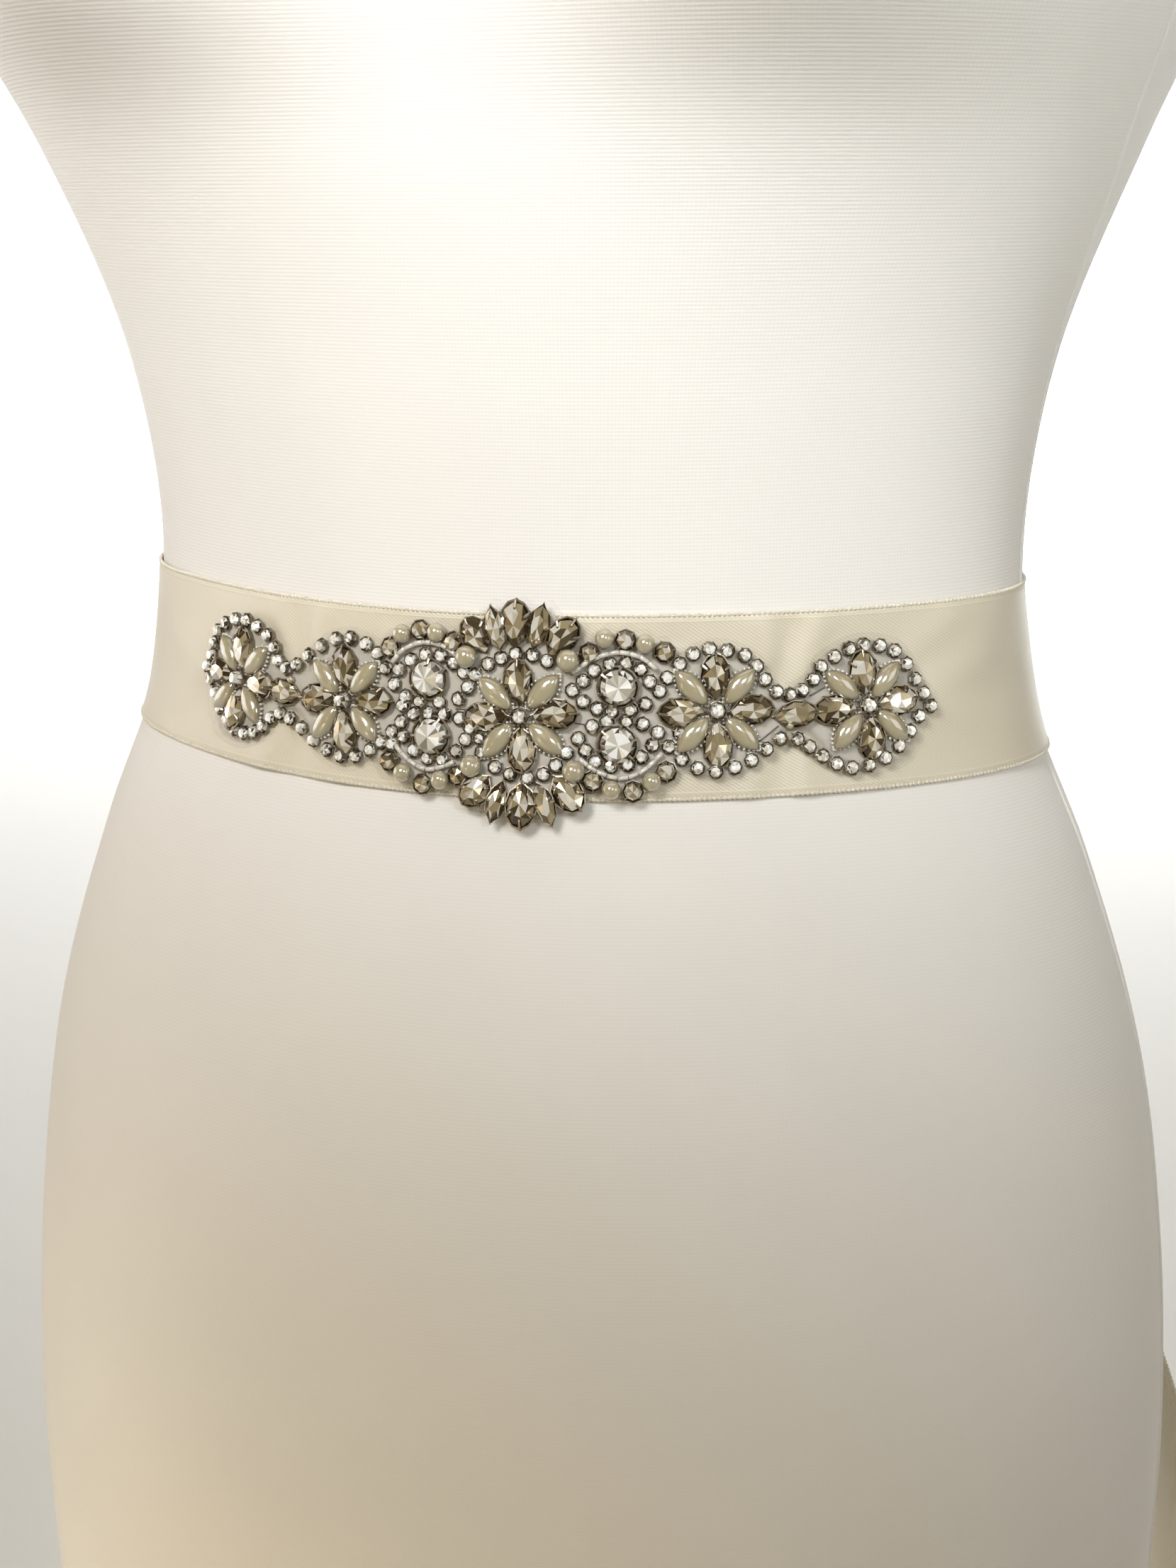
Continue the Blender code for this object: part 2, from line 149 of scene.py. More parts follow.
# Tube, seed and milled beads in mm: long, wide, high; and from one tube bead to the next
TUBE_BEAD, SEED_BEAD, MILLED_BEAD, TUBE_PITCH = (2.1, 1.15, 1.15), (1.9, 1.9, 1.8), (0.75, 0.75, 0.8), 2.25
# Cup-chain stones in mm from the centre: round the flowers, round the cells, and between flower and fans
FLOWER_CHAIN = (
    (60.4, 4.0), (63.1, 6.3), (64.9, 9.0), (68.2, 11.1), (71.6, 12.7), (75.1, 13.3), (79.1, 12.8),
    (82.7, 11.4), (85.5, 8.2), (87.4, 4.6), (89.3, 1.2), (90.8, -1.9), (87.5, -3.9), (84.8, -7.0),
    (81.6, -10.1), (78.0, -12.4), (73.9, -13.7), (70.0, -14.0), (66.7, -12.8), (63.8, -10.8),
    (61.1, -8.6), (58.6, -6.7), (54.9, -6.4), (51.6, -8.5), (48.2, -10.8), (44.5, -12.2),
    (40.5, -12.9), (36.7, -12.1), (33.6, -10.0), (30.6, -12.2), (57.5, 3.2), (54.6, 4.0), (52.2, 6.8),
    (50.4, 9.9), (47.8, 12.4), (44.1, 13.6), (40.1, 14.1), (36.6, 13.1), (33.7, 11.0), (31.0, 7.9),
    (29.3, 5.0),
    (-56.8, 6.1), (-60.0, 4.9), (-62.9, 6.4), (-64.3, 9.2), (-67.0, 11.8), (-70.8, 13.4), (-74.9, 14.4),
    (-79.2, 14.0), (-83.2, 12.6), (-86.4, 10.4), (-87.9, 7.3), (-88.6, 4.2), (-90.2, 1.2), (-87.9, -1.6),
    (-85.4, -4.6), (-82.4, -7.8), (-79.1, -10.2), (-75.5, -11.8), (-71.9, -12.1), (-68.6, -11.3),
    (-65.9, -9.6), (-63.6, -7.3), (-60.8, -5.8), (-57.4, -6.5), (-53.6, -8.2), (-49.7, -10.4),
    (-45.7, -12.1), (-41.7, -13.0), (-37.9, -12.5), (-34.4, -10.8), (-31.6, -8.8), (-29.3, -6.2),
    (-53.2, 8.7), (-49.4, 11.3), (-45.2, 13.3), (-41.1, 13.9), (-37.0, 12.9), (-33.8, 11.0), (-31.6, 7.9),
)
CELL_CHAIN = (
    (10.9, 5.2), (13.2, 7.3), (15.5, 9.6), (18.9, 11.1), (22.3, 11.3), (25.3, 9.9), (27.3, 7.1),
    (13.2, 2.7), (16.1, 1.2), (19.2, 0.6), (23.3, 0.9), (26.3, 2.2), (15.1, -2.7), (18.2, -1.6),
    (22.1, -1.5), (25.6, -2.2), (28.8, -4.1), (31.0, -7.2), (9.7, -8.6), (12.1, -5.4), (13.6, -8.0),
    (15.6, -10.4), (18.8, -11.5), (22.4, -11.0), (25.2, -9.4), (27.6, -6.8), (33.4, -4.2),
    (-10.4, 7.8), (-12.9, 8.3), (-15.4, 10.2), (-18.4, 11.7), (-21.9, 11.8), (-25.5, 10.3), (-28.3, 7.9),
    (-29.4, 4.5), (-26.4, 2.0), (-22.9, 1.1), (-18.4, 1.3), (-14.0, 2.3), (-11.9, 4.9), (-24.4, -1.8),
    (-20.8, -1.3), (-17.1, -1.3), (-13.6, -2.0), (-11.1, -4.0), (-27.2, -3.8), (-29.0, -8.9),
    (-26.3, -7.0), (-23.7, -9.9), (-20.4, -11.3), (-17.0, -11.2), (-14.0, -9.3), (-12.0, -6.6),
    (-8.8, -6.1), (-8.4, -9.2), (-27.0, 0.0),
)
CENTRE_CHAIN = (
    (-7.5, 10.4), (-4.6, 11.9), (-1.3, 13.0), (2.3, 12.8), (5.5, 11.5),
    (-5.4, -12.2), (-2.1, -13.7), (1.6, -14.3), (4.9, -13.4), (7.4, -11.4),
)
CHATONS = (
    (14.4, 13.4), (22.2, 16.3), (30.5, 13.6), (15.0, -14.7), (23.2, -16.9), (30.2, -12.7),
    (-30.5, 12.7), (-23.1, 17.1), (-15.3, 15.0), (-29.2, -12.7), (-21.0, -17.0), (-13.4, -14.6),
)
PEARLS = (
    (17.7, 16.8), (26.3, 15.6), (18.8, -16.6), (27.0, -14.8),
    (-27.2, 16.2), (-19.0, 17.0), (-25.4, -14.9), (-16.9, -15.9),
)
BIG_PEARLS = ((10.0, 11.9), (11.2, -12.6), (-12.0, 12.0), (-10.2, -12.3))
CRYSTALS = ((20.5, 6.0), (20.2, -6.8), (-21.0, 6.4), (-19.8, -6.3))
# Fan stones: outer end, inner end, width; every second one is pointed at both ends
FANS = (
    ((-12.2, 20.3), (-7.9, 13.4), 6.2), ((-6.9, 23.0), (-4.6, 14.2), 4.7), ((-1.5, 24.4), (-1.4, 14.6), 6.5),
    ((4.7, 23.9), (2.5, 14.8), 4.7), ((11.3, 20.5), (5.9, 13.2), 6.2),
    ((-11.6, -20.6), (-6.6, -14.4), 6.2), ((-5.8, -24.2), (-3.7, -15.6), 4.5),
    ((0.6, -25.0), (0.3, -15.4), 6.4),
    ((6.9, -24.3), (3.6, -15.6), 4.5), ((12.7, -20.8), (7.0, -14.0), 6.2),
)
LINKS = ((63.2, -1.2, 53.8, -1.0), (-64.0, -0.4, -55.4, -0.7))
SEED_BEADS = ((15.2, -3.6), (-31.8, -0.2), (33.0, 1.4), (-9.6, 1.0), (57.2, -3.6), (-58.4, 2.4))
STITCHES = (
    (62.4, 2.7, 65.7, 4.2), (50.4, -6.7, 54.7, -3.8), (-14.8, 0.0, -10.6, 0.1), (10.9, -2.0, 14.4, -2.5),
)
BUGLE_ARCS = (
    ((10.9, 9.1), (15.2, 12.1), (20.5, 13.6), (25.5, 12.4), (29.3, 9.3)),
    ((12.4, -9.9), (16.0, -12.6), (20.8, -14.0), (25.4, -12.4), (29.2, -8.9)),
    ((-29.9, 9.6), (-27.2, 12.5), (-22.8, 14.4), (-18.0, 14.0), (-14.2, 11.7)),
    ((-28.1, -9.2), (-24.7, -12.1), (-20.6, -13.7), (-16.8, -12.9), (-13.2, -11.0)),
)
# Side seam: height, angle round the form
SEAM = np.array(((0.0, 1.571), (0.33, 1.571), (0.40, 1.540), (0.427, 1.468), (0.454, 1.390), (0.480, 1.330),
                 (0.530, 1.300), (0.590, 1.330), (0.640, 1.440), (0.680, 1.560), (0.785, 1.571)))
SEAM_RISE, SEAM_FOOT, SEAM_SUNK = 0.00045, 0.00005, 0.0003
# The edge cord: length and wire of its loops, and its printed width, pitch and the line beside it
PICOT, PICOT_WIRE, PICOT_SIDES = 0.0011, 0.00026, 6
CORD_WIDTH, CORD_PITCH, LINE_INSET, LINE_WIDTH = 0.0006, 0.0008, 0.0013, 0.00025
# How bright a stone's faces are painted, as painted reflections of the foil: the steps they are drawn from,
# one stone to another, and away from its table
GLINTS = (0.04, 0.24, 0.40, 0.62, 0.95)
GLINT_SPREAD, TABLE_HEIGHT, SIDE_GLINT, GLINT_SHIFT = 0.30, 0.7, -0.12, -0.08
METAL_GRAIN = (700.0, 3.0, 0.45)

# Creases of the ribbon, in mm on the appliqué's axes: from, to, half width, height
CREASES = (
    (56.5, 7.0, 59.0, 20.0, 2.2, -0.75), (60.8, 7.5, 66.5, 20.5, 2.4, 0.55),
    (53.6, 12.0, 52.0, 20.5, 2.4, 0.50),
    (57.0, -6.5, 53.0, -20.0, 2.2, -0.70), (60.0, -7.5, 59.5, -20.0, 2.4, 0.55),
    (49.0, -15.0, 46.0, -20.5, 2.4, 0.35),
    (93.5, 2.5, 112.0, 8.0, 3.6, 0.35), (93.5, -3.0, 118.0, -9.0, 4.2, 0.40),
    (88.0, 11.0, 101.0, 19.0, 3.0, 0.30),
    (33.0, 16.0, 35.0, 21.0, 2.0, -0.35), (16.0, -18.0, 22.0, -21.5, 2.2, 0.30),
    (-56.5, 6.5, -57.5, 20.0, 2.4, -0.75), (-60.5, 8.0, -66.0, 20.0, 2.6, 0.55),
    (-53.0, 11.0, -49.0, 20.0, 2.6, 0.50),
    (-57.0, -6.5, -55.0, -20.0, 2.4, -0.70), (-61.0, -9.0, -68.0, -20.5, 2.8, 0.60),
    (-47.0, -15.0, -40.0, -20.5, 2.6, 0.40),
    (-94.0, 0.0, -116.0, 6.0, 4.0, 0.40), (-92.0, -6.0, -108.0, -15.0, 3.4, -0.35),
    (-30.0, 17.5, -33.0, 21.0, 2.2, -0.30),
)
# Where along a crease it starts to fade, how softly, and how much wider it runs out
CREASE_FULL, CREASE_FADE, CREASE_SPREAD = 0.8, 0.10, 1.25


def smooth(table, column, z):
    """Smooth curve through one column of a table whose first column rises."""
    x = table[:, 0]
    v = table[:, column]
    h = np.diff(x)
    d = np.diff(v) / h
    m = np.empty_like(v)
    m[1:-1] = (d[:-1] * h[1:] + d[1:] * h[:-1]) / (h[1:] + h[:-1])
    m[0] = d[0]
    m[-1] = d[-1]
    z = np.clip(z, x[0], x[-1])
    i = np.clip(np.searchsorted(x, z) - 1, 0, len(x) - 2)
    t = (z - x[i]) / h[i]
    a = (2 * t**3 - 3 * t**2 + 1) * v[i] + (t**3 - 2 * t**2 + t) * h[i] * m[i]
    b = (3 * t**2 - 2 * t**3) * v[i + 1] + (t**3 - t**2) * h[i] * m[i + 1]
    return a + b


def skin(t, z):
    """Point of the form's surface at angle t, 0 at the front, and height z."""
    t, z = np.broadcast_arrays(np.asarray(t, float), np.asarray(z, float))
    width, front, back = (smooth(FORM_ROWS, column, z) for column in (1, 2, 3))
    corner = 1 - smooth(FORM_ROWS, 4, z) * np.sin(2 * t) ** 2
    x = width * np.sin(t) * corner
    y = -np.where(np.cos(t) > 0, front, back) * np.cos(t) * corner
    reach = np.where(z < BUST_Z, BUST_BELOW, BUST_ABOVE)
    lobe = np.exp(-(((np.abs(x) - BUST_X) / BUST_WIDTH) ** 2) - ((z - BUST_Z) / reach) ** 2)
    facing = np.clip(np.cos(t) / BUST_TURN, 0, 1)
    return np.stack([x, y - BUST_DEPTH * lobe * facing**2 * (3 - 2 * facing), z], -1)


def unit(vectors):
    return vectors / np.linalg.norm(vectors, axis=-1, keepdims=True)


def run_along(line):
    """Distance from the first point of a line, or of each line of a grid, to every point of it."""
    steps = np.linalg.norm(np.diff(line, axis=0), axis=-1)
    return np.concatenate([np.zeros_like(steps[:1]), np.cumsum(steps, axis=0)])


def normal(t, z):
    """Unit vector out of the form's surface."""
    e = 1e-4
    along = skin(np.asarray(t) + e, z) - skin(np.asarray(t) - e, z)
    up = skin(t, np.asarray(z) + e) - skin(t, np.asarray(z) - e)
    return unit(np.cross(along, up))


def at_waist(t, v, out):
    """Point beside the waist: v along the surface from mid-height, out from it."""
    t, v, out = np.broadcast_arrays(np.asarray(t, float), v, out)
    reach = RIBBON / 2
    run = np.linalg.norm(skin(t, WAIST_Z + reach) - skin(t, WAIST_Z - reach), axis=-1)
    z = WAIST_Z + v * RIBBON / run
    return skin(t, z) + out[..., None] * normal(t, z)


WAIST_T = np.linspace(-math.pi, math.pi, 1441)
WAIST_S = run_along(skin(WAIST_T, WAIST_Z))
WAIST_S = WAIST_S - WAIST_S[len(WAIST_S) // 2]


def on_applique(s, v, out):
    """Point of the appliqué: s and v in mm from its centre, out in metres from the form."""
    t = np.interp(APPLIQUE_S + np.asarray(s, float) * MM, WAIST_S, WAIST_T)
    return at_waist(t, APPLIQUE_V + np.asarray(v, float) * MM, out)


def crease_height(s, v):
    """Height in metres of the ribbon's creases at s, v in mm on the appliqué's axes."""
    total = np.zeros(np.broadcast(s, v).shape)
    for s0, v0, s1, v1, width, height in CREASES:
        run = np.array((s1 - s0, v1 - v0))
        along = ((s - s0) * run[0] + (v - v0) * run[1]) / (run @ run)
        aside = ((s - s0) * run[1] - (v - v0) * run[0]) / math.sqrt(run @ run)
        past = np.clip(along - CREASE_FULL, 0, None) + np.clip(-along, 0, None)
        fade = np.exp(-(past**2) / CREASE_FADE)
        total += height * MM * np.exp(-((aside / (CREASE_SPREAD * width)) ** 2)) * fade
    return total


# Meshes


def add_piece(name, points, faces, finish, uv=None, shade_smooth=True):
    """New object at the origin, in one of the finishes, that rides on the frame's one body."""
    mesh = bpy.data.meshes.new(name)
    mesh.from_pydata(np.asarray(points).tolist(), [], faces)
    mesh.update()
    obj = bpy.data.objects.new(name, mesh)
    bpy.context.scene.collection.objects.link(obj)
    mesh.materials.append(FINISHES[finish])
    mesh.polygons.foreach_set("use_smooth", [shade_smooth] * len(mesh.polygons))
    if uv is not None:
        index = np.empty(len(mesh.loops), np.int32)
        mesh.loops.foreach_get("vertex_index", index)
        mesh.uv_layers.new(name="cloth").data.foreach_set("uv", np.asarray(uv, float)[index].ravel())
    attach(obj, "root")
    return obj


def store(obj, name, values, domain="POINT"):
    """Keeps a value for each point or corner, for the materials to read."""
    layer = obj.data.color_attributes.new(name, "FLOAT_COLOR", domain)
    layer.data.foreach_set("color", np.stack([values, values, values, np.ones_like(values)], -1).ravel())


def wall(front, back, closed=False):
    """Points and faces of a wall between two grids; a closed one joins its last column to its first."""
    rows, columns = front.shape[:2]
    index = np.arange(rows * columns).reshape(rows, columns)
    right = np.roll(index, -1, 1)
    last = columns if closed else columns - 1
    quads = np.stack([index[:-1], right[:-1], right[1:], index[1:]], -1)[:, :last].reshape(-1, 4)
    shift = rows * columns
    rims = [index[0], index[-1][::-1]]
    if closed:
        rims = [np.append(index[0], index[0, 0]), np.append(index[-1], index[-1, 0])[::-1]]
    else:
        rims += [index[:, -1], index[::-1, 0]]
    faces = quads.tolist() + (quads[:, ::-1] + shift).tolist()
    for rim in rims:
        for a, b in zip(rim[:-1].tolist(), rim[1:].tolist()):
            faces.append([b, a, a + shift, b + shift])
    return np.concatenate([front.reshape(-1, 3), back.reshape(-1, 3)]), faces


def close_map(obj, columns, girth):
    """Where a face joins the last column to the first, its first-column corners get the map's far end."""
    index = np.empty(len(obj.data.loops), np.int32)
    obj.data.loops.foreach_get("vertex_index", index)
    layer = obj.data.uv_layers["cloth"]
    uv = np.empty(len(index) * 2, np.float32)
    layer.data.foreach_get("uv", uv)
    uv = uv.reshape(-1, 2)
    for polygon in obj.data.polygons:
        corners = range(polygon.loop_start, polygon.loop_start + polygon.loop_total)
        if polygon.loop_total == 4 and any(index[c] % columns == columns - 1 for c in corners):
            for corner in corners:
                if index[corner] % columns == 0:
                    uv[corner, 0] += girth
    layer.data.foreach_set("uv", uv.ravel())


def deselect():
    if bpy.context.object and bpy.context.object.mode != "OBJECT":
        bpy.ops.object.mode_set(mode="OBJECT")
    bpy.ops.object.select_all(action="DESELECT")


def pick(obj, test, kind="VERT"):
    """Selects in edit mode the vertices or faces whose place passes the test."""
    if obj.mode != "EDIT":
        bpy.ops.object.mode_set(mode="EDIT")
    bpy.ops.mesh.select_mode(type=kind)
    bpy.ops.mesh.select_all(action="DESELECT")
    shape = bmesh.from_edit_mesh(obj.data)
    if kind == "VERT":
        for vertex in shape.verts:
            vertex.select_set(bool(test(vertex.co)))
    else:
        for face in shape.faces:
            face.select_set(bool(test(face.calc_center_median(), face.normal)))
    shape.select_flush_mode()
    bmesh.update_edit_mesh(obj.data)


def pinch(obj, ends):
    """Draws a stone's ends in to points: where along x, which way, how much."""
    for place, side, factor in ends:
        pick(obj, lambda co: co.x * side > place)
        bpy.ops.transform.resize(value=(1, factor, 1), center_override=(0, 0, 0))


# Crowns of the stones: how far in their table stands, and how high
PEAR_CROWN, ROUND_CROWN, SMALL_CROWN = (0.19, 0.36), (0.13, 0.36), (0.13, 0.38)
# Where a stone narrows along its length, on which side, and to how much of its width
TIP = ((0.10, -1, 0.86), (0.30, -1, 0.68), (0.46, -1, 0.30))
POINTS = tuple((place, side, factor) for place, factor in ((0.22, 0.88), (0.38, 0.66), (0.47, 0.30))
               for side in (-1, 1))


def added():
    """The primitive just added, with its place and turn made part of its shape."""
    bpy.ops.object.transform_apply(location=True, rotation=True, scale=True)
    return bpy.context.object


def taken(obj, ends=()):
    """Applies the shape and hands it over as arrays, so that its copies can be placed."""
    if ends:
        pinch(obj, ends)
    bpy.ops.object.mode_set(mode="OBJECT")
    points = np.array([tuple(obj.matrix_world @ v.co) for v in obj.data.vertices])
    faces = [tuple(polygon.vertices) for polygon in obj.data.polygons]
    mesh = obj.data
    bpy.data.objects.remove(obj)
    bpy.data.meshes.remove(mesh)
    return points, faces


def cut_stone(sides, crown, ends=()):
    """Faceted stone one unit long, wide and high, its foot at z = 0."""
    deselect()
    bpy.ops.mesh.primitive_cylinder_add(vertices=sides, radius=0.5, depth=0.42, location=(0, 0, 0.21))
    obj = added()
    pick(obj, lambda centre, facing: facing.z > 0.9, "FACE")
    bpy.ops.mesh.inset(thickness=crown[0], depth=crown[1])
    bpy.ops.mesh.poke(offset=0.06)
    pick(obj, lambda centre, facing: 0.1 < facing.z < 0.95, "FACE")
    bpy.ops.mesh.quads_convert_to_tris(quad_method="BEAUTY")
    return taken(obj, ends)


def half_pearl(ends=()):
    """Pearl one unit across with a flat back at z = 0, drawn to points where asked."""
    deselect()
    bpy.ops.mesh.primitive_uv_sphere_add(segments=16, ring_count=10, radius=0.5, location=(0, 0, 0))
    obj = bpy.context.object
    bpy.ops.object.mode_set(mode="EDIT")
    bpy.ops.mesh.select_all(action="SELECT")
    bpy.ops.mesh.bisect(plane_co=(0, 0, -0.2), plane_no=(0, 0, 1), clear_inner=True, use_fill=True)
    bpy.ops.mesh.select_all(action="SELECT")
    bpy.ops.transform.translate(value=(0, 0, 0.2))
    return taken(obj, ends)


def ball(segments, rings, height=0.4):
    """Round bead one unit across, its middle this high."""
    deselect()
    bpy.ops.mesh.primitive_uv_sphere_add(segments=segments, ring_count=rings, radius=0.5,
                                         location=(0, 0, height))
    obj = added()
    bpy.ops.object.mode_set(mode="EDIT")
    return taken(obj)


def bugle():
    """Small tube bead lying along x."""
    deselect()
    bpy.ops.mesh.primitive_cylinder_add(vertices=8, radius=0.5, depth=1.0, location=(0, 0, 0.5),
                                        rotation=(0, math.pi / 2, 0))
    obj = added()
    pick(obj, lambda centre, facing: abs(facing.x) > 0.9, "FACE")
    bpy.ops.mesh.inset(thickness=0.16, depth=0.05)
    bpy.ops.mesh.inset(thickness=0.10, depth=-0.12)
    return taken(obj)


def cup(sides, claws, ends=()):
    """Metal setting round a unit stone: a flared wall, and claws at these degrees that lean over its edge."""
    deselect()
    bpy.ops.mesh.primitive_cone_add(vertices=sides, radius1=0.45, radius2=0.54, depth=0.42,
                                    location=(0, 0, 0.21), end_fill_type="NOTHING")
    obj = added()
    solid = obj.modifiers.new("rim", "SOLIDIFY")
    solid.thickness = 0.045
    solid.offset = 1.0
    bpy.ops.object.modifier_apply(modifier=solid.name)
    for angle in claws:
        deselect()
        bpy.ops.mesh.primitive_cone_add(vertices=5, radius1=0.075, radius2=0.045, depth=0.36,
                                        location=(0.525, 0, 0.42))
        claw = added()
        pick(claw, lambda co: co.z > 0.5)
        bpy.ops.mesh.extrude_region_move(TRANSFORM_OT_translate={"value": (-0.15, 0, 0.16)})
        bpy.ops.transform.resize(value=(0.75, 0.8, 0.75))
        bpy.ops.mesh.select_all(action="SELECT")
        bpy.ops.transform.rotate(value=-math.radians(angle), orient_axis="Z", center_override=(0, 0, 0))
        bpy.ops.object.mode_set(mode="OBJECT")
        obj.select_set(True)
        bpy.context.view_layer.objects.active = obj
        bpy.ops.object.join()
    bpy.ops.object.mode_set(mode="EDIT")
    bpy.ops.mesh.select_all(action="SELECT")
    bpy.ops.mesh.normals_make_consistent(inside=False)
    return taken(obj, ends)


def places(spots, size, lift=0.0, wobble=0.0):
    """Matrices that set a unit shape at each (s, v, turn in degrees), with its size in mm."""
    spots = np.asarray(spots, float)
    s, v, turn = spots[:, 0], spots[:, 1], np.radians(spots[:, 2])
    here = on_applique(s, v, STONES_OUT + lift * MM)
    along = unit(on_applique(s + 0.5, v, STONES_OUT) - on_applique(s - 0.5, v, STONES_OUT))
    rise = unit(on_applique(s, v + 0.5, STONES_OUT) - on_applique(s, v - 0.5, STONES_OUT))
    x = np.cos(turn)[:, None] * along + np.sin(turn)[:, None] * rise
    y = np.cos(turn)[:, None] * rise - np.sin(turn)[:, None] * along
    out = np.cross(x, y)
    lean = RNG.normal(0, wobble, (len(s), 2))
    out = unit(out + lean[:, :1] * x + lean[:, 1:] * y)
    x = unit(np.cross(y, out))
    y = np.cross(out, x)
    grids = np.zeros((len(s), 3, 4))
    for axis, (direction, length) in enumerate(zip((x, y, out), size)):
        grids[:, :, axis] = direction * np.asarray(length)[..., None] * MM
    grids[:, :, 3] = here
    return grids


def set_copies(name, shape, grids, finish, shade_smooth=False, facets=0.0):
    """One piece made of a copy of the shape at each matrix; facets is the extra painted glint of a stone's
    table.
    """
    points, faces = shape
    placed = np.einsum("kij,nj->kni", grids[:, :, :3], points) + grids[:, None, :, 3]
    count = len(points)
    all_faces = [[corner + copy * count for corner in face] for copy in range(len(grids)) for face in faces]
    obj = add_piece(name, placed.reshape(-1, 3), all_faces, finish, shade_smooth=shade_smooth)
    if not facets:
        # Height of each point; the pearl finish paints shade towards the foot from it.
        store(obj, "rise", np.tile(points[:, 2] / points[:, 2].max(), len(grids)))
        return
    # Painted reflections: each face of a stone gets a random brightness, its table brighter and its sides
    # darker.
    stone = np.repeat(RNG.random(len(grids)) * GLINT_SPREAD, len(faces))
    height = np.array([points[list(face), 2].mean() for face in faces])
    table = np.tile(np.where(height > TABLE_HEIGHT, facets, SIDE_GLINT), len(grids))
    painted_glint = np.clip(RNG.choice(GLINTS, len(all_faces)) + stone + table + GLINT_SHIFT, 0, 1)
    store(obj, "painted_glint", np.repeat(painted_glint, [len(face) for face in all_faces]), "CORNER")


def set_stones(names, shapes, spots, sizes, lifts, wobble, finish, facets):
    """Stones and the settings under them, as two pieces: names, shapes, sizes and lifts are a pair each."""
    grids = places(spots, sizes[0], lifts[0], wobble)
    set_copies(names[0], shapes[0], grids, finish, facets=facets)
    set_copies(names[1], shapes[1], places(spots, sizes[1], lifts[1]), "silver")


def with_turns(spots):
    """Places in mm with a random turn for each."""
    spots = np.asarray(spots, float)
    return np.column_stack([spots, RNG.uniform(0, 90, len(spots))])


def between(pairs):
    """Middle and direction in degrees of each stone, from its outer and inner ends."""
    outer, inner = np.asarray(pairs, float)
    middle = (outer + inner) / 2
    return np.column_stack([middle, np.degrees(np.arctan2(*(outer - inner).T[::-1]))])


# Materials


def feed(tree, node, key, value):
    """Links a socket to the node's input, or sets the value there."""
    if isinstance(value, bpy.types.NodeSocket):
        tree.links.new(value, node.inputs[key])
    else:
        node.inputs[key].default_value = value


def put(tree, kind, inputs=None, **settings):
    """New node with its settings, each input a value or the socket it comes from."""
    node = tree.nodes.new(kind)
    for key, value in settings.items():
        setattr(node, key, value)
    for key, value in (inputs or {}).items():
        feed(tree, node, key, value)
    return node


def sums(tree):
    """What adds a maths node to the tree, each side a socket or a number."""
    def add(operation, *sides):
        return put(tree, "ShaderNodeMath", dict(enumerate(sides)), operation=operation).outputs[0]
    return add


def ramp(tree, value, start, end, low=0.0, high=1.0, interpolation="LINEAR"):
    """The range from start to end taken to the range from low to high."""
    inputs = {"Value": value, "From Min": start, "From Max": end, "To Min": low, "To Max": high}
    return put(tree, "ShaderNodeMapRange", inputs, interpolation_type=interpolation).outputs["Result"]


def mixed(tree, factor, first, second):
    """Colour between two, each a socket or three numbers."""
    first, second = ((*end, 1.0) if isinstance(end, tuple) else end for end in (first, second))
    inputs = {"Factor": factor, "A": first, "B": second}
    return put(tree, "ShaderNodeMix", inputs, data_type="RGBA").outputs["Result"]


def noise(tree, scale, detail):
    """Cloudy value that stays with the object."""
    place = put(tree, "ShaderNodeTexCoord").outputs["Object"]
    return put(tree, "ShaderNodeTexNoise", {"Vector": place, "Scale": scale, "Detail": detail}).outputs["Fac"]


def toned(colour, *factors):
    """The colour darker or lighter, by one factor or by one for each part."""
    factors = factors * 3 if len(factors) == 1 else factors
    return tuple(min(1.0, part * factor) for part, factor in zip(colour, factors))


def effect(name, inputs, outputs):
    """Empty node group with its named sockets."""
    group = bpy.data.node_groups.new(name, "ShaderNodeTree")
    for title, kind, value in inputs:
        socket = group.interface.new_socket(title, in_out="INPUT", socket_type=kind)
        if value is not None:
            socket.default_value = value
    for title, kind in outputs:
        group.interface.new_socket(title, in_out="OUTPUT", socket_type=kind)
    return group, group.nodes.new("NodeGroupInput"), group.nodes.new("NodeGroupOutput")


def knit_effect():
    """Jersey: rows of small stitches, with painted shade in their hollows and a cloudy tone."""
    group, given, result = effect(
        "fine_knit",
        (("Vector", "NodeSocketVector", None), ("Course", "NodeSocketFloat", 0.0008),
         ("Wale", "NodeSocketFloat", 0.0009)),
        (("Height", "NodeSocketFloat"), ("Shade", "NodeSocketFloat")),
    )
    do = sums(group)
    place = given.outputs["Vector"]
    across, up, _ = put(group, "ShaderNodeSeparateXYZ", {0: place}).outputs
    row = do("SINE", do("DIVIDE", do("MULTIPLY", up, math.tau), given.outputs["Course"]))
    wale = do("SINE", do("DIVIDE", do("MULTIPLY", across, math.tau), given.outputs["Wale"]))
    cloud = put(group, "ShaderNodeTexNoise", {"Vector": place, "Scale": 9.0, "Detail": 3.0})
    fuzz = put(group, "ShaderNodeTexNoise", {"Vector": place, "Scale": 900.0, "Detail": 2.0})
    stitches = do("ADD", row, do("MULTIPLY", wale, 0.35))
    height = do("ADD", stitches, do("MULTIPLY", fuzz.outputs["Fac"], 0.8))
    feed(group, result, "Height", height)
    # Shade: painted shade in the stitches' hollows, plus a cloudy tone that differs at random.
    feed(group, result, "Shade", do("ADD", do("MULTIPLY", height, 0.06), cloud.outputs["Fac"]))
    return group


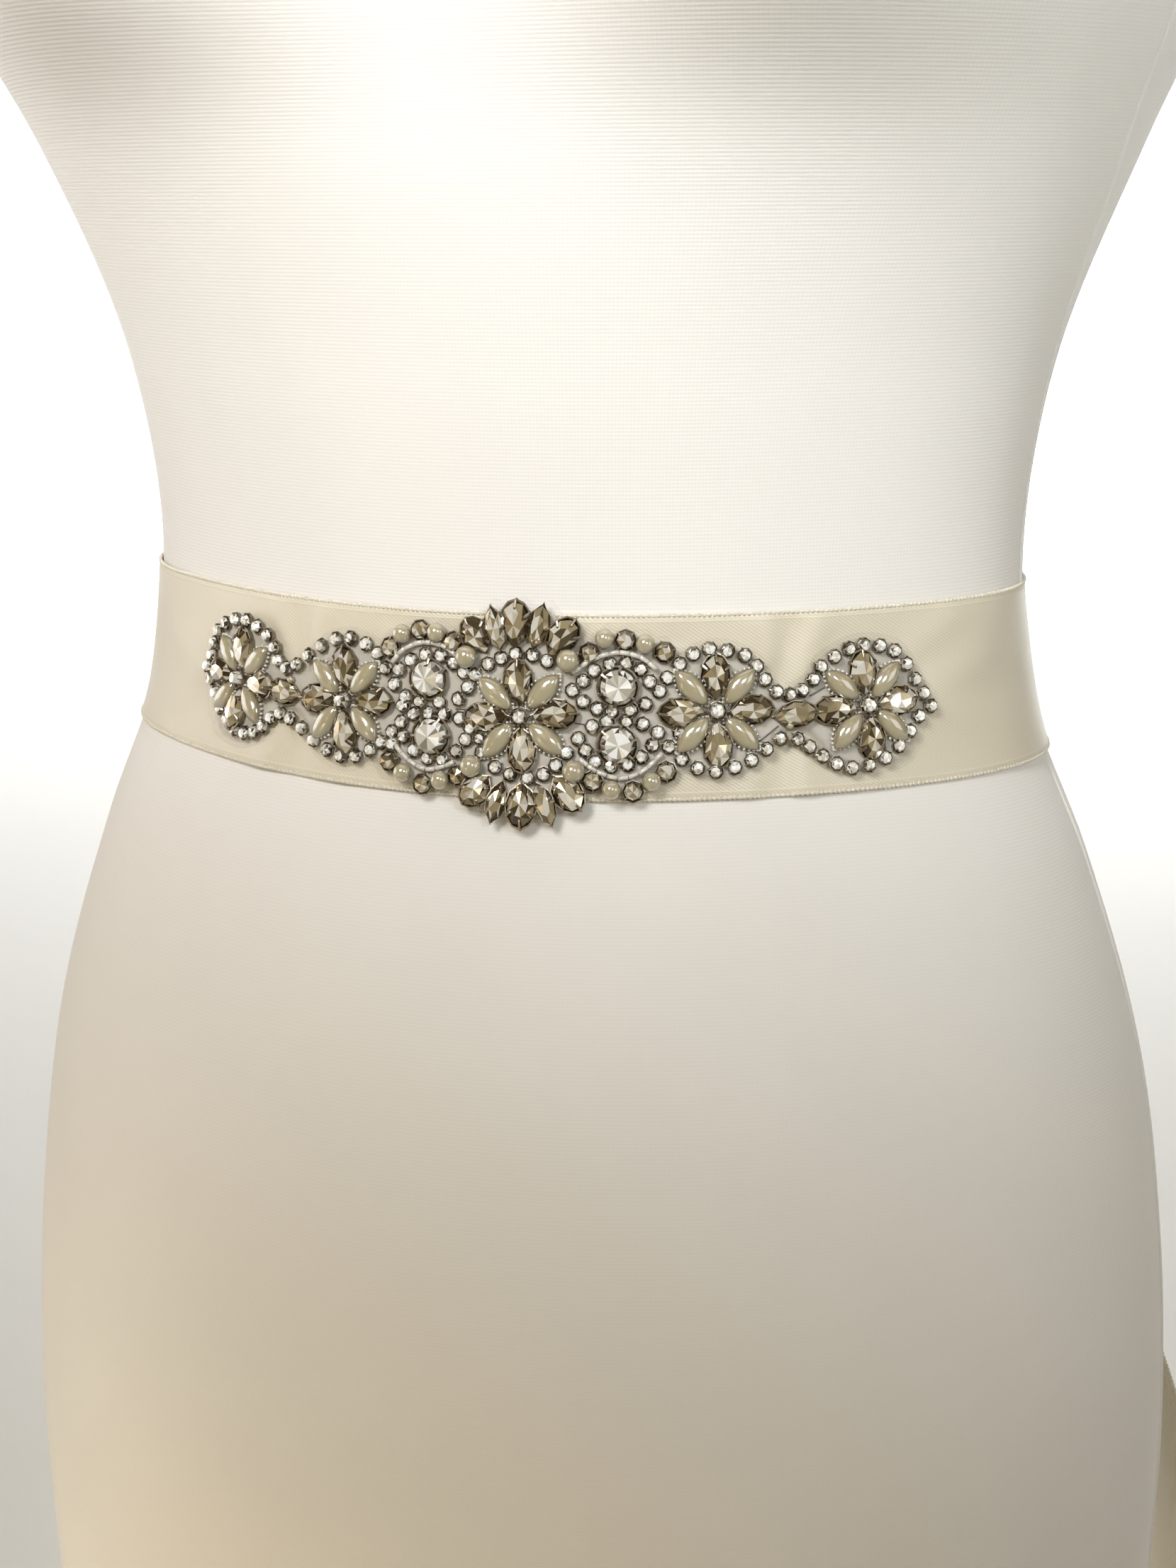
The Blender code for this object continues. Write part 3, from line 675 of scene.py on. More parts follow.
def satin_effect():
    """Ribbon: fine slanting lines, and a dotted edge cord with a line beside it."""
    group, given, result = effect(
        "satin_weave",
        (("Vector", "NodeSocketVector", None), ("Pitch", "NodeSocketFloat", 0.00065),
         ("Half width", "NodeSocketFloat", 0.02)),
        (("Height", "NodeSocketFloat"), ("Edge", "NodeSocketFloat"), ("Lines", "NodeSocketFloat")),
    )
    do = sums(group)
    along, across, _ = put(group, "ShaderNodeSeparateXYZ", {0: given.outputs["Vector"]}).outputs
    slant = do("ADD", do("MULTIPLY", along, 0.57), do("MULTIPLY", across, 0.82))
    lines = do("SINE", do("DIVIDE", do("MULTIPLY", slant, math.tau), given.outputs["Pitch"]))
    inset = do("SUBTRACT", given.outputs["Half width"], do("ABSOLUTE", across))
    cord = do("MAXIMUM", do("SUBTRACT", 1.0, do("DIVIDE", inset, CORD_WIDTH)), 0.0)
    dots = do("ABSOLUTE", do("SINE", do("MULTIPLY", along, math.pi / CORD_PITCH)))
    cord = do("MULTIPLY", do("MINIMUM", do("MULTIPLY", cord, 3.0), 1.0), dots)
    off_line = do("ABSOLUTE", do("SUBTRACT", inset, LINE_INSET))
    line = do("MAXIMUM", do("SUBTRACT", 1.0, do("DIVIDE", off_line, LINE_WIDTH)), 0.0)
    edge = do("MAXIMUM", cord, do("MULTIPLY", line, 0.7))
    height = do("ADD", do("MULTIPLY", lines, 0.25), do("MULTIPLY", edge, 1.6))
    for key, value in (("Height", height), ("Edge", edge), ("Lines", lines)):
        feed(group, result, key, value)
    return group


def tint_effect():
    """Colour that runs from dark through middle to bright with a value, for the stones' painted reflections.
    """
    group, given, result = effect(
        "foil_painted_glint",
        (("Value", "NodeSocketFloat", 0.5), ("Dark", "NodeSocketColor", None),
         ("Middle", "NodeSocketColor", None), ("Bright", "NodeSocketColor", None)),
        (("Color", "NodeSocketColor"),),
    )
    value, dark, middle, bright = (given.outputs[key] for key in ("Value", "Dark", "Middle", "Bright"))
    low = ramp(group, value, 0.12, 0.45, interpolation="SMOOTHSTEP")
    high = ramp(group, value, 0.55, 0.92, interpolation="SMOOTHSTEP")
    feed(group, result, "Color", mixed(group, high, mixed(group, low, dark, middle), bright))
    return group


def new_material(name, colour, roughness, **settings):
    """Material with its shader set, and its tree and shader."""
    material = bpy.data.materials.new(name)
    material.use_nodes = True
    tree = material.node_tree
    shader = tree.nodes["Principled BSDF"]
    feed(tree, shader, "Base Color", (*colour, 1.0))
    feed(tree, shader, "Roughness", roughness)
    for key, value in settings.items():
        feed(tree, shader, key.replace("_", " "), value)
    return material, tree, shader


def bumped(tree, shader, height, distance, strength):
    bump = put(tree, "ShaderNodeBump", {"Height": height, "Distance": distance, "Strength": strength})
    feed(tree, shader, "Normal", bump.outputs["Normal"])


def on_cloth(tree, group):
    """The effect laid out along the cloth's own map."""
    flat = put(tree, "ShaderNodeUVMap", uv_map="cloth").outputs[0]
    return put(tree, "ShaderNodeGroup", {"Vector": flat}, node_tree=group).outputs


def stored(tree, name):
    """Value kept on the piece's points or corners."""
    return put(tree, "ShaderNodeAttribute", attribute_name=name).outputs["Fac"]


def jersey_material(colour):
    material, tree, shader = new_material("jersey", colour, 0.9, Sheen_Weight=0.25, Sheen_Roughness=0.5,
                                          Specular_IOR_Level=0.25)
    knit = on_cloth(tree, EFFECTS["knit"])
    # The stitches' hollows painted darker as painted shade, with a cloudy random tone.
    shade = ramp(tree, knit["Shade"], 0.2, 0.8)
    feed(tree, shader, "Base Color", mixed(tree, shade, toned(colour, 0.95), toned(colour, 1.03)))
    bumped(tree, shader, knit["Height"], 0.00005, 0.25)
    return material


def satin_material(colour):
    material, tree, shader = new_material("satin", colour, 0.36, Sheen_Weight=0.3, Sheen_Roughness=0.35,
                                          Specular_IOR_Level=0.55, Anisotropic=0.6)
    weave = on_cloth(tree, EFFECTS["satin"])
    body = mixed(tree, ramp(tree, weave["Lines"], -1.0, 1.0), toned(colour, 0.93), toned(colour, 1.05))
    feed(tree, shader, "Base Color", mixed(tree, weave["Edge"], body, toned(colour, 1.16)))
    feed(tree, shader, "Roughness", ramp(tree, weave["Edge"], 0.0, 1.0, 0.36, 0.6))
    bumped(tree, shader, weave["Height"], 0.00010, 0.5)
    return material


def backing_material(colour):
    """Sheer net, paler and fading out towards its rim."""
    material, tree, shader = new_material("sheer_backing", colour, 0.6, Sheen_Weight=0.3)
    place = put(tree, "ShaderNodeTexCoord").outputs["Object"]
    net = put(tree, "ShaderNodeTexVoronoi", {"Vector": place, "Scale": 1600.0})
    body = mixed(tree, noise(tree, 420.0, 4.0), toned(colour, 0.84), tuple(colour))
    rim = stored(tree, "rim")
    feed(tree, shader, "Base Color", mixed(tree, rim, toned(colour, 1.25), body))
    feed(tree, shader, "Alpha", ramp(tree, rim, 0.3, 1.0, 0.04, 0.97, "SMOOTHSTEP"))
    bumped(tree, shader, net.outputs["Distance"], 0.0002, 0.15)
    return material


def foil_material(name, dark, middle, bright, metallic):
    """Glass over foil, each face painted darker or brighter as a painted reflection."""
    material, tree, shader = new_material(name, middle, 0.06, Metallic=metallic, Coat_Weight=1.0,
                                          Coat_Roughness=0.02)
    tones = {"Dark": (*dark, 1), "Middle": (*middle, 1), "Bright": (*bright, 1)}
    inputs = {"Value": stored(tree, "painted_glint"), **tones}
    tint = put(tree, "ShaderNodeGroup", inputs, node_tree=EFFECTS["tint"])
    feed(tree, shader, "Base Color", tint.outputs["Color"])
    return material


def grained_material(name, colour, roughness, grain, **settings):
    """Metal, cord or thread with a grain: its scale, its detail and how dark it gets."""
    material, tree, shader = new_material(name, colour, roughness, **settings)
    scale, detail, dark = grain
    grains = noise(tree, scale, detail)
    feed(tree, shader, "Base Color", mixed(tree, grains, toned(colour, dark), tuple(colour)))
    bumped(tree, shader, grains, 0.0001, 0.3)
    return material


def pearl_material(colour):
    """Cloudy lustre, with painted shade that darkens it towards its foot, where little light reaches."""
    material, tree, shader = new_material("pearl", colour, 0.26, Coat_Weight=1.0, Coat_Roughness=0.07,
                                          Coat_IOR=2.5, Specular_IOR_Level=0.9)
    body = mixed(tree, noise(tree, 260.0, 2.0), toned(colour, 0.92, 0.89, 0.84), tuple(colour))
    # Painted shade: the colour darkens towards the pearl's foot, by the stored height.
    lift = ramp(tree, stored(tree, "rise"), 0.15, 1.0, interpolation="SMOOTHSTEP")
    feed(tree, shader, "Base Color", mixed(tree, lift, toned(colour, 0.36, 0.32, 0.24), body))
    return material


EFFECTS = {}
FINISHES = {}


# What a user would change


def length(title, text, default):
    return bpy.props.FloatProperty(name=title, description=text, default=default, min=0.0, unit="LENGTH",
                                   precision=5)


def colour(title, text, default):
    return bpy.props.FloatVectorProperty(name=title, description=text, default=default, size=3, min=0.0,
                                         max=1.0, subtype="COLOR")


class SashSizes(bpy.types.PropertyGroup):
    cloth: length("Cloth", "Thickness of the satin ribbon", 0.0004)
    chain_stone: length("Chain stone", "Width of each small claw-set stone", 0.0028)
    pearl: length("Pearl", "Diameter of the smaller round pearls", 0.0042)
    big_pearl: length("Large pearl", "Diameter of the larger round pearls", 0.0050)
    seam: length("Seam", "Half width of the jersey's side seams", 0.0011)


class SashColours(bpy.types.PropertyGroup):
    jersey: colour("Jersey", "Cover of the dress form", (0.86, 0.83, 0.78))
    satin: colour("Satin", "Ribbon, knot and tails", (0.715, 0.65, 0.51))
    backing: colour("Backing", "Cloth the stones are sewn to", (0.64, 0.595, 0.51))
    silver: colour("Settings", "Claws, cups and milled edges", (0.46, 0.39, 0.29))
    pearl: colour("Pearl", "Pearls", (0.49, 0.435, 0.285))


def make_finishes():
    colours = bpy.context.scene.sash_colours
    EFFECTS.update(knit=knit_effect(), satin=satin_effect(), tint=tint_effect())
    FINISHES.update(
        jersey=jersey_material(colours.jersey),
        satin=satin_material(colours.satin),
        backing=backing_material(colours.backing),
        # Foil and chain glass: dark, middle and bright colours of their painted reflections.
        foil=foil_material("foiled_glass", (0.07, 0.046, 0.022), (0.46, 0.375, 0.215), (1.0, 0.96, 0.85),
                           0.4),
        crystal=foil_material("chain_glass", (0.07, 0.055, 0.035), (0.66, 0.62, 0.52), (1.0, 1.0, 0.97), 0.1),
        silver=grained_material("silver_setting", colours.silver, 0.35, METAL_GRAIN, Metallic=1.0),
        bead=grained_material("silver_lined_bead", (1.0, 0.95, 0.84), 0.24, METAL_GRAIN, Metallic=0.15),
        selvage=grained_material("selvage", toned(colours.satin, 1.14, 1.16, 1.20), 0.6, (2600.0, 2.0, 0.80),
                                 Sheen_Weight=0.3),
        thread=grained_material("grey_thread", (0.12, 0.115, 0.105), 0.7, (3200.0, 2.0, 0.80),
                                Sheen_Weight=0.3),
        pearl=pearl_material(colours.pearl),
    )


class SASH_OT_form(bpy.types.Operator):
    """Jersey-covered form with its side seams"""

    bl_idname = "sash.form"
    bl_label = "Dress form"

    def execute(self, context):
        columns, body_rows, neck_rows, girth_row = 200, 150, 40, 60
        t = np.linspace(-math.pi, math.pi, columns, endpoint=False)
        z = np.concatenate([np.linspace(0.003, 0.690, body_rows), np.linspace(0.692, NECK_Z, neck_rows)])
        grid = skin(t[None], z[:, None])
        base = skin(t, 0.0)
        rims = [base * (0.95, 0.95, 0), base * (0.985, 0.985, 1)]
        cap = []
        for angle in np.radians((18, 36, 54, 70, 84)):
            ring = grid[-1].copy()
            inward = NECK_ROUND * (1 - math.cos(angle))
            ring[:, :2] *= 1 - inward / NECK_RADIUS - max(0.0, angle - 1.2) * 0.55
            ring[:, 2] = NECK_Z + (NECK_TOP - NECK_Z - 0.0005) * math.sin(angle)
            cap.append(ring)
        rings = np.concatenate([np.stack(rims), grid, np.stack(cap)])
        count = len(rings)
        index = np.arange(count * columns).reshape(count, columns)
        right = np.roll(index, -1, 1)
        faces = np.stack([index[:-1], right[:-1], right[1:], index[1:]], -1).reshape(-1, 4).tolist()
        faces.append(index[0][::-1].tolist())
        top = count * columns
        faces += [[index[-1, c], index[-1, (c + 1) % columns], top] for c in range(columns)]
        points = np.concatenate([rings.reshape(-1, 3), [(0, 0.002, NECK_TOP)]])
        step = np.linalg.norm(np.roll(grid[girth_row], -1, 0) - grid[girth_row], axis=1)
        around = np.concatenate([[0], np.cumsum(step)[:-1]])
        uv = np.column_stack([np.tile(around, count), rings[:, :, 2].ravel()])
        uv = np.concatenate([uv, [(0, NECK_TOP)]])
        body = add_piece("form_jersey", points, faces, "jersey", uv)
        close_map(body, columns, float(step.sum()))
        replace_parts(body, "dress_form")
        half = context.scene.sash_sizes.seam
        for name, side in (("right", 1), ("left", -1)):
            z = np.linspace(0.004, 0.700, 300)
            across = np.linspace(-1, 1, 7)
            middle = side * smooth(SEAM, 1, z)
            width = np.linalg.norm(skin(middle + 0.01, z) - skin(middle, z), axis=1) / 0.01
            angle = middle[:, None] + across[None] * half / width[:, None]
            rise = SEAM_RISE * np.sqrt(np.clip(1 - across**2, 0, 1))[None] + SEAM_FOOT + 0 * z[:, None]
            front = skin(angle, z[:, None]) + rise[..., None] * normal(angle, z[:, None])
            back = skin(angle, z[:, None]) - SEAM_SUNK * normal(angle, z[:, None])
            points, faces = wall(front, back)
            uv = np.column_stack([np.tile(across * half, 2 * len(z)), np.repeat(np.tile(z, 2), len(across))])
            add_piece("side_seam_" + name, points, faces, "jersey", uv)
        return {"FINISHED"}


class SASH_OT_band(bpy.types.Operator):
    """Satin ribbon round the waist, creased where the appliqué is sewn"""

    bl_idname = "sash.band"
    bl_label = "Ribbon band"

    def execute(self, context):
        cloth = context.scene.sash_sizes.cloth
        s = np.linspace(WAIST_S[0], WAIST_S[-1], 760, endpoint=False)
        t = np.interp(s, WAIST_S, WAIST_T)
        turns, widths = np.array(BAND_WIDTHS).T
        half = np.interp(np.abs(t), turns, widths)
        u = np.linspace(-1, 1, 41)
        v = u[:, None] * half[None]
        creases = crease_height((s - APPLIQUE_S)[None] / MM, (v - APPLIQUE_V) / MM)
        out = BAND_OUT - EDGE_DRAW * u[:, None] ** 4 + creases
        out = out + EDGE_RIPPLE * np.sin(s[None] * 61 + 2.4 * u[:, None]) * u[:, None] ** 2
        out = out + LONG_RIPPLE * np.sin(s[None] * 133 - 3.1 * u[:, None])
        gather = np.clip((RIBBON / 2 - half) / GATHER_FROM, 0, 1)[None]
        out = out + gather * GATHER_RISE * np.cos(u[:, None] * 9.0) + GATHER_LIFT * gather
        middle = np.clip(out, 0.0005, None)
        front = at_waist(t[None], v, middle + cloth / 2)
        back = at_waist(t[None], v, middle - cloth / 2)
        points, faces = wall(front, back, closed=True)
        flat = np.column_stack([np.tile(s, len(u)), np.repeat(u * RIBBON / 2, len(s))])
        band = add_piece("ribbon_band", points, faces, "satin", np.concatenate([flat, flat]))
        girth = float(WAIST_S[-1] - WAIST_S[0])
        close_map(band, len(s), girth)
        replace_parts(band, "sash_band")
        edges = [
            picot(name, at_waist(t, v[row], middle[row]), closed=True)
            for name, row in (("band_picot_lower", 0), ("band_picot_upper", -1))
        ]
        return {"FINISHED"}


def picot(name, line, closed=False):
    """Edge cord of the ribbon along a line of points: a row of small loops."""
    if closed:
        line = np.concatenate([line, line[:1]])
    run = run_along(line)
    loops = round(run[-1] / PICOT)
    stops = np.linspace(0, run[-1], loops * 5 + 1)
    if closed:
        stops = stops[:-1]
    path = np.stack([np.interp(stops, run, line[:, axis]) for axis in range(3)], -1)
    ahead = unit(np.roll(path, -1, 0) - np.roll(path, 1, 0)) if closed else unit(np.gradient(path, axis=0))
    up = unit(np.cross(ahead, (0.31, 0.17, 0.94)))
    aside = np.cross(up, ahead)
    radius = PICOT_WIRE + PICOT_WIRE * np.abs(np.sin(math.pi * stops / run[-1] * loops))
    turn = np.linspace(0, math.tau, PICOT_SIDES, endpoint=False)
    ring = np.cos(turn)[None, :, None] * up[:, None] + np.sin(turn)[None, :, None] * aside[:, None]
    points = path[:, None] + radius[:, None, None] * ring
    index = np.arange(len(points) * PICOT_SIDES).reshape(-1, PICOT_SIDES)
    after = np.roll(index, -1, 0) if closed else index[1:]
    first = index if closed else index[:-1]
    faces = np.stack([first, after, np.roll(after, -1, 1), np.roll(first, -1, 1)], -1).reshape(-1, 4).tolist()
    if not closed:
        faces += [index[0].tolist(), index[-1][::-1].tolist()]
    return add_piece(name, points.reshape(-1, 3), faces, "selvage")


def developed(line):
    """Length of each row of points."""
    return np.linalg.norm(np.diff(line, axis=1), axis=2).sum(1)


def tail_strip(name, rows, phase, context):
    """One tail of the tie: pleated under the knot, then opening to the ribbon's full width."""
    cloth = context.scene.sash_sizes.cloth
    table = np.array(rows)
    down = np.linspace(0, 1, 170)
    table = np.column_stack([np.linspace(0, 1, len(table)), table])
    angle, z, half, off = (smooth(table, column, down) for column in (1, 2, 3, 4))
    half = np.minimum(half, RIBBON / 2)
    t = np.radians(angle)
    z = WAIST_Z + z
    facing = normal(t, z)
    facing[:, 2] = 0
    facing = unit(facing)
    middle = skin(t, z) + off[:, None] * facing
    path = unit(np.gradient(middle, axis=0))
    side = unit(np.cross(path, facing))
    out = np.cross(side, path)
    u = np.linspace(-1, 1, 41)
    curl = TAIL_CURL * down**2

    def surface(pleat, extra=0.0):
        lift = curl[:, None] * u**2 + pleat[:, None] * np.sin(u * PLEATS * math.pi + phase)
        fall = down[:, None]
        lift = lift + TAIL_SWAY * fall * np.sin(5 * fall + 2.6 * u + phase) * (0.3 + u**2)
        lift = lift + TAIL_CRINKLE * (1 - fall) * fall * np.sin(11 * u + 6 * fall - phase)
        spread = (half[:, None] * u)[..., None] * side[:, None]
        return middle[:, None] + spread + (lift + extra)[..., None] * out[:, None]

    low, high = np.zeros(len(down)), np.full(len(down), DEEPEST_PLEAT)
    for _ in range(24):
        guess = (low + high) / 2
        short = developed(surface(guess)) < RIBBON
        low, high = np.where(short, guess, low), np.where(short, high, guess)
    pleat = np.where(half > OPEN_HALF, 0.0, low)
    front = surface(pleat, cloth / 2)
    back = surface(pleat, -cloth / 2)
    points, faces = wall(front, back)
    run = run_along(middle)
    flat = np.column_stack([np.repeat(run, len(u)), np.tile(u * RIBBON / 2, len(down))])
    tail = add_piece(name, points, faces, "satin", np.concatenate([flat, flat]))
    middle_cloth = (front + back) / 2
    edges = [picot(name + "_picot_" + end, middle_cloth[:, column]) for end, column in (("a", 0), ("b", -1))]
    return tail


class SASH_OT_tie(bpy.types.Operator):
    """Knot at the back and its two hanging tails"""

    bl_idname = "sash.tie"
    bl_label = "Knot and tails"

    def execute(self, context):
        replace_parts(tail_strip("ribbon_tail_right", RIGHT_TAIL, 0.4, context), "tail_right")
        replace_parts(tail_strip("ribbon_tail_left", LEFT_TAIL, 1.7, context), "tail_left")
        cloth = context.scene.sash_sizes.cloth
        across, up = np.meshgrid(np.linspace(-1, 1, 61), np.linspace(-1, 1, 49))
        squeeze = 1 - 0.20 * (1 - up**2) + 0.05 * up
        speed = np.linalg.norm(skin(math.pi + 0.01, WAIST_Z) - skin(math.pi, WAIST_Z)) / 0.01
        t = math.pi + across * squeeze * KNOT_HALF[0] / speed
        rise = np.clip(1 - np.abs(across) ** 2.3, 0, 1) ** 0.5 * np.clip(1 - np.abs(up) ** 3.2, 0, 1) ** 0.5
        pleats = np.abs(np.sin(across * 4.2 + 1.3 * up + 0.4)) ** 0.8 * KNOT_PLEAT - KNOT_SINK
        pleats = pleats - KNOT_SKEW * up * across
        depth = KNOT_FOOT + (KNOT_DEPTH - KNOT_FOOT) * rise + pleats * rise
        front = at_waist(t, up * KNOT_HALF[1], depth)
        back = at_waist(t, up * KNOT_HALF[1] * 0.985, np.maximum(depth - cloth - 0.0004, KNOT_BACK))
        points, faces = wall(front, back)
        run = run_along(front)
        flat = np.column_stack([run.ravel(), (across * RIBBON / 2).ravel()])
        knot = add_piece("ribbon_knot", points, faces, "satin", np.concatenate([flat, flat]))
        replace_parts(knot, "knot")
        return {"FINISHED"}


def backing_outline():
    """Whole scalloped edge, anticlockwise, with rounded steps between the table's points."""
    right = list(BACKING_EDGE[::-1])
    upper = right + [(-s, v) for s, v in BACKING_EDGE[1:]]
    loop = np.array(upper + [(-s, -v) for s, v in upper[1:-1]])
    before, after, next_after = np.roll(loop, 1, 0), np.roll(loop, -1, 0), np.roll(loop, -2, 0)
    rounded = []
    for f in np.linspace(0, 1, 4, endpoint=False):
        rounded.append(
            0.5 * (2 * loop + (after - before) * f + (2 * before - 5 * loop + 4 * after - next_after) * f**2
                   + (3 * loop - before - 3 * after + next_after) * f**3)
        )
    return np.stack(rounded, 1).reshape(-1, 2)


def inside(points, loop):
    """Which points lie inside the loop."""
    found = np.zeros(len(points), bool)
    for (ax, ay), (bx, by) in zip(loop, np.roll(loop, -1, 0)):
        spans = (ay > points[:, 1]) != (by > points[:, 1])
        found ^= spans & (points[:, 0] < ax + (points[:, 1] - ay) * (bx - ax) / np.where(spans, by - ay, 1))
    return found


def edge_distance(points, loop):
    return np.min(np.linalg.norm(points[:, None] - loop[None], axis=2), axis=1)


class SASH_OT_backing(bpy.types.Operator):
    """Scalloped backing that the stones are sewn to"""

    bl_idname = "sash.backing"
    bl_label = "Backing"

    def execute(self, context):
        loop = backing_outline()
        s, v = np.meshgrid(np.arange(-93, 94, BACKING_STEP), np.arange(-25.5, 26, BACKING_STEP))
        fill = np.stack([s.ravel(), v.ravel()], -1)
        fill = fill[inside(fill, loop)]
        fill = fill[edge_distance(fill, loop) > BACKING_CLEAR]
        flat = np.concatenate([loop, fill])
        lines = [(i, (i + 1) % len(loop)) for i in range(len(loop))]
        _, _, faces, origins, _, _ = delaunay_2d_cdt([Vector(p) for p in flat], lines, [], 0, 1e-6, True)
        faces = np.array([[origins[i][0] for i in face] for face in faces])
        faces = faces[inside(flat[faces].mean(1), loop)]
        far = edge_distance(flat, loop)
        ripple = BACKING_RIPPLE * np.sin(flat[:, 0] * 1.7) * np.cos(flat[:, 1] * 1.3)
        top = on_applique(flat[:, 0], flat[:, 1], BACKING_OUT + BACKING_WALL + ripple)
        under = on_applique(flat[:, 0], flat[:, 1], BACKING_OUT + ripple)
        count, shift = len(loop), len(flat)
        rim = [[i, i + shift, (i + 1) % count + shift, (i + 1) % count] for i in range(count)]
        all_faces = faces.tolist() + (faces[:, ::-1] + shift).tolist() + rim
        piece = add_piece("applique_backing", np.concatenate([top, under]), all_faces, "backing")
        store(piece, "rim", np.tile(np.clip(far / BACKING_RIM, 0, 1), 2))
        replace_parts(piece, "applique")
        return {"FINISHED"}


def petals(straight):
    """Spots of the petals that stand straight, or of those between them."""
    spots = []
    for s, v, tilt in FLOWERS:
        for turn in range(0 if straight else 45, 360, 90):
            way = math.radians(turn + tilt)
            spots.append((s + PETAL_R * math.cos(way), v + PETAL_R * math.sin(way), turn + tilt))
    return spots


class SASH_OT_drops(bpy.types.Operator):
    """Drop and navette crystals of the flowers and fans, in claw settings"""

    bl_idname = "sash.drops"
    bl_label = "Drop crystals"

    def execute(self, context):
        drop = cut_stone(9, PEAR_CROWN, TIP)
        drop_cup = cup(12, (0, 62, -62, 128, -128), TIP)
        navette = cut_stone(8, PEAR_CROWN, POINTS)
        navette_cup = cup(12, (0, 90, 180, 270), POINTS)
        fan = between(([end for end, _, _ in FANS], [end for _, end, _ in FANS]))
        width = np.array([w for _, _, w in FANS])
        long = np.array([math.dist(a, b) for a, b, _ in FANS])
        pointed = width < 5
        links = between(([link[:2] for link in LINKS], [link[2:] for link in LINKS]))
        groups = (
            ("flower_drops", drop, drop_cup, petals(True), (9.5, 6.1, 3.3)),
            ("link_drops", drop, drop_cup, links, (9.3, 5.4, 3.0)),
            ("fan_drops", drop, drop_cup, fan[~pointed], (long[~pointed], width[~pointed], 3.6)),
            ("fan_navettes", navette, navette_cup, fan[pointed], (long[pointed], width[pointed], 3.3)),
        )
        for name, stone, setting, spots, size in groups:
            spots = np.array(spots, float)
            spots[:, 2] += RNG.normal(0, 2.0, len(spots))
            grids = places(spots, size, 0.3, 0.07)
            set_copies(name, stone, grids, "foil", facets=0.16)
            grids[:, :, 3] = places(spots, size)[:, :, 3]
            set_copies(name + "_settings", setting, grids, "silver")
        return {"FINISHED"}


def navette_edge(count):
    """Points along a unit navette's outline, for a milled edge."""
    turn = np.linspace(0, math.tau, count, endpoint=False)
    x = 0.5 * np.cos(turn)
    y = 0.5 * np.sin(turn) * np.clip(1 - np.abs(np.cos(turn)) ** 3 * 0.75, 0.2, 1)
    return x, y


class SASH_OT_pearls(bpy.types.Operator):
    """Navette petal pearls with milled edges, and round pearls"""

    bl_idname = "sash.pearls"
    bl_label = "Pearls"

    def execute(self, context):
        sizes = context.scene.sash_sizes
        spots = np.array(petals(False), float)
        spots[:, 2] += RNG.normal(0, 2.0, len(spots))
        set_copies("petal_pearls", half_pearl(POINTS), places(spots, PETAL, 0.25), "pearl", True)
        x, y = navette_edge(30)
        cos, sin = np.cos(np.radians(spots[:, 2]))[:, None], np.sin(np.radians(spots[:, 2]))[:, None]
        s = spots[:, :1] + cos * x * PETAL_EDGE[0] - sin * y * PETAL_EDGE[1]
        v = spots[:, 1:2] + sin * x * PETAL_EDGE[0] + cos * y * PETAL_EDGE[1]
        beads = np.stack([s.ravel(), v.ravel(), np.zeros(s.size)], -1)
        set_copies("milled_edges", ball(6, 4), places(beads, MILLED_BEAD, 0.5), "bead", True)
        groups = (("round_pearls", PEARLS, sizes.pearl), ("large_pearls", BIG_PEARLS, sizes.big_pearl))
        for name, group, width in groups:
            grids = places(with_turns(group), [width / MM] * 3)
            set_copies(name, ball(18, 12, 0.46), grids, "pearl", True)
        return {"FINISHED"}


class SASH_OT_rounds(bpy.types.Operator):
    """Large round crystals and the stones at the flowers' centres"""

    bl_idname = "sash.rounds"
    bl_label = "Round crystals"

    def execute(self, context):
        rounds = cut_stone(16, ROUND_CROWN), cup(16, range(15, 360, 60))
        set_stones(("round_crystals", "round_settings"), rounds, with_turns(CRYSTALS),
                   ((7.7, 7.7, 3.8), (8.1, 8.1, 3.4)), (0.3, 0.0), 0.05, "crystal", 0.12)
        small = cut_stone(8, SMALL_CROWN), cup(8, range(0, 360, 45))
        set_stones(("flower_hearts", "heart_settings"), small, [(s, v, 45.0) for s, v, _ in FLOWERS],
                   ((3.3, 3.3, 2.6), (3.9, 3.9, 2.6)), (1.5, 1.0), 0.08, "crystal", 0.28)
        return {"FINISHED"}


class SASH_OT_chain(bpy.types.Operator):
    """Small claw-set stones that outline the flowers and cells"""

    bl_idname = "sash.chain"
    bl_label = "Stone chain"

    def execute(self, context):
        width = context.scene.sash_sizes.chain_stone / MM
        small = cut_stone(8, SMALL_CROWN), cup(8, (45, 135, 225, 315))
        chain = with_turns(FLOWER_CHAIN + CELL_CHAIN + CENTRE_CHAIN)
        wide = width * 1.12
        set_stones(("chain_stones", "chain_cups"), small, chain, ((width, width, 1.9), (wide, wide, 2.0)),
                   (0.35, 0.0), 0.07, "crystal", 0.28)
        set_stones(("chatons", "chaton_cups"), small, with_turns(CHATONS),
                   ((3.9, 3.9, 2.7), (4.4, 4.4, 2.6)), (0.4, 0.0), 0.08, "foil", 0.16)
        return {"FINISHED"}


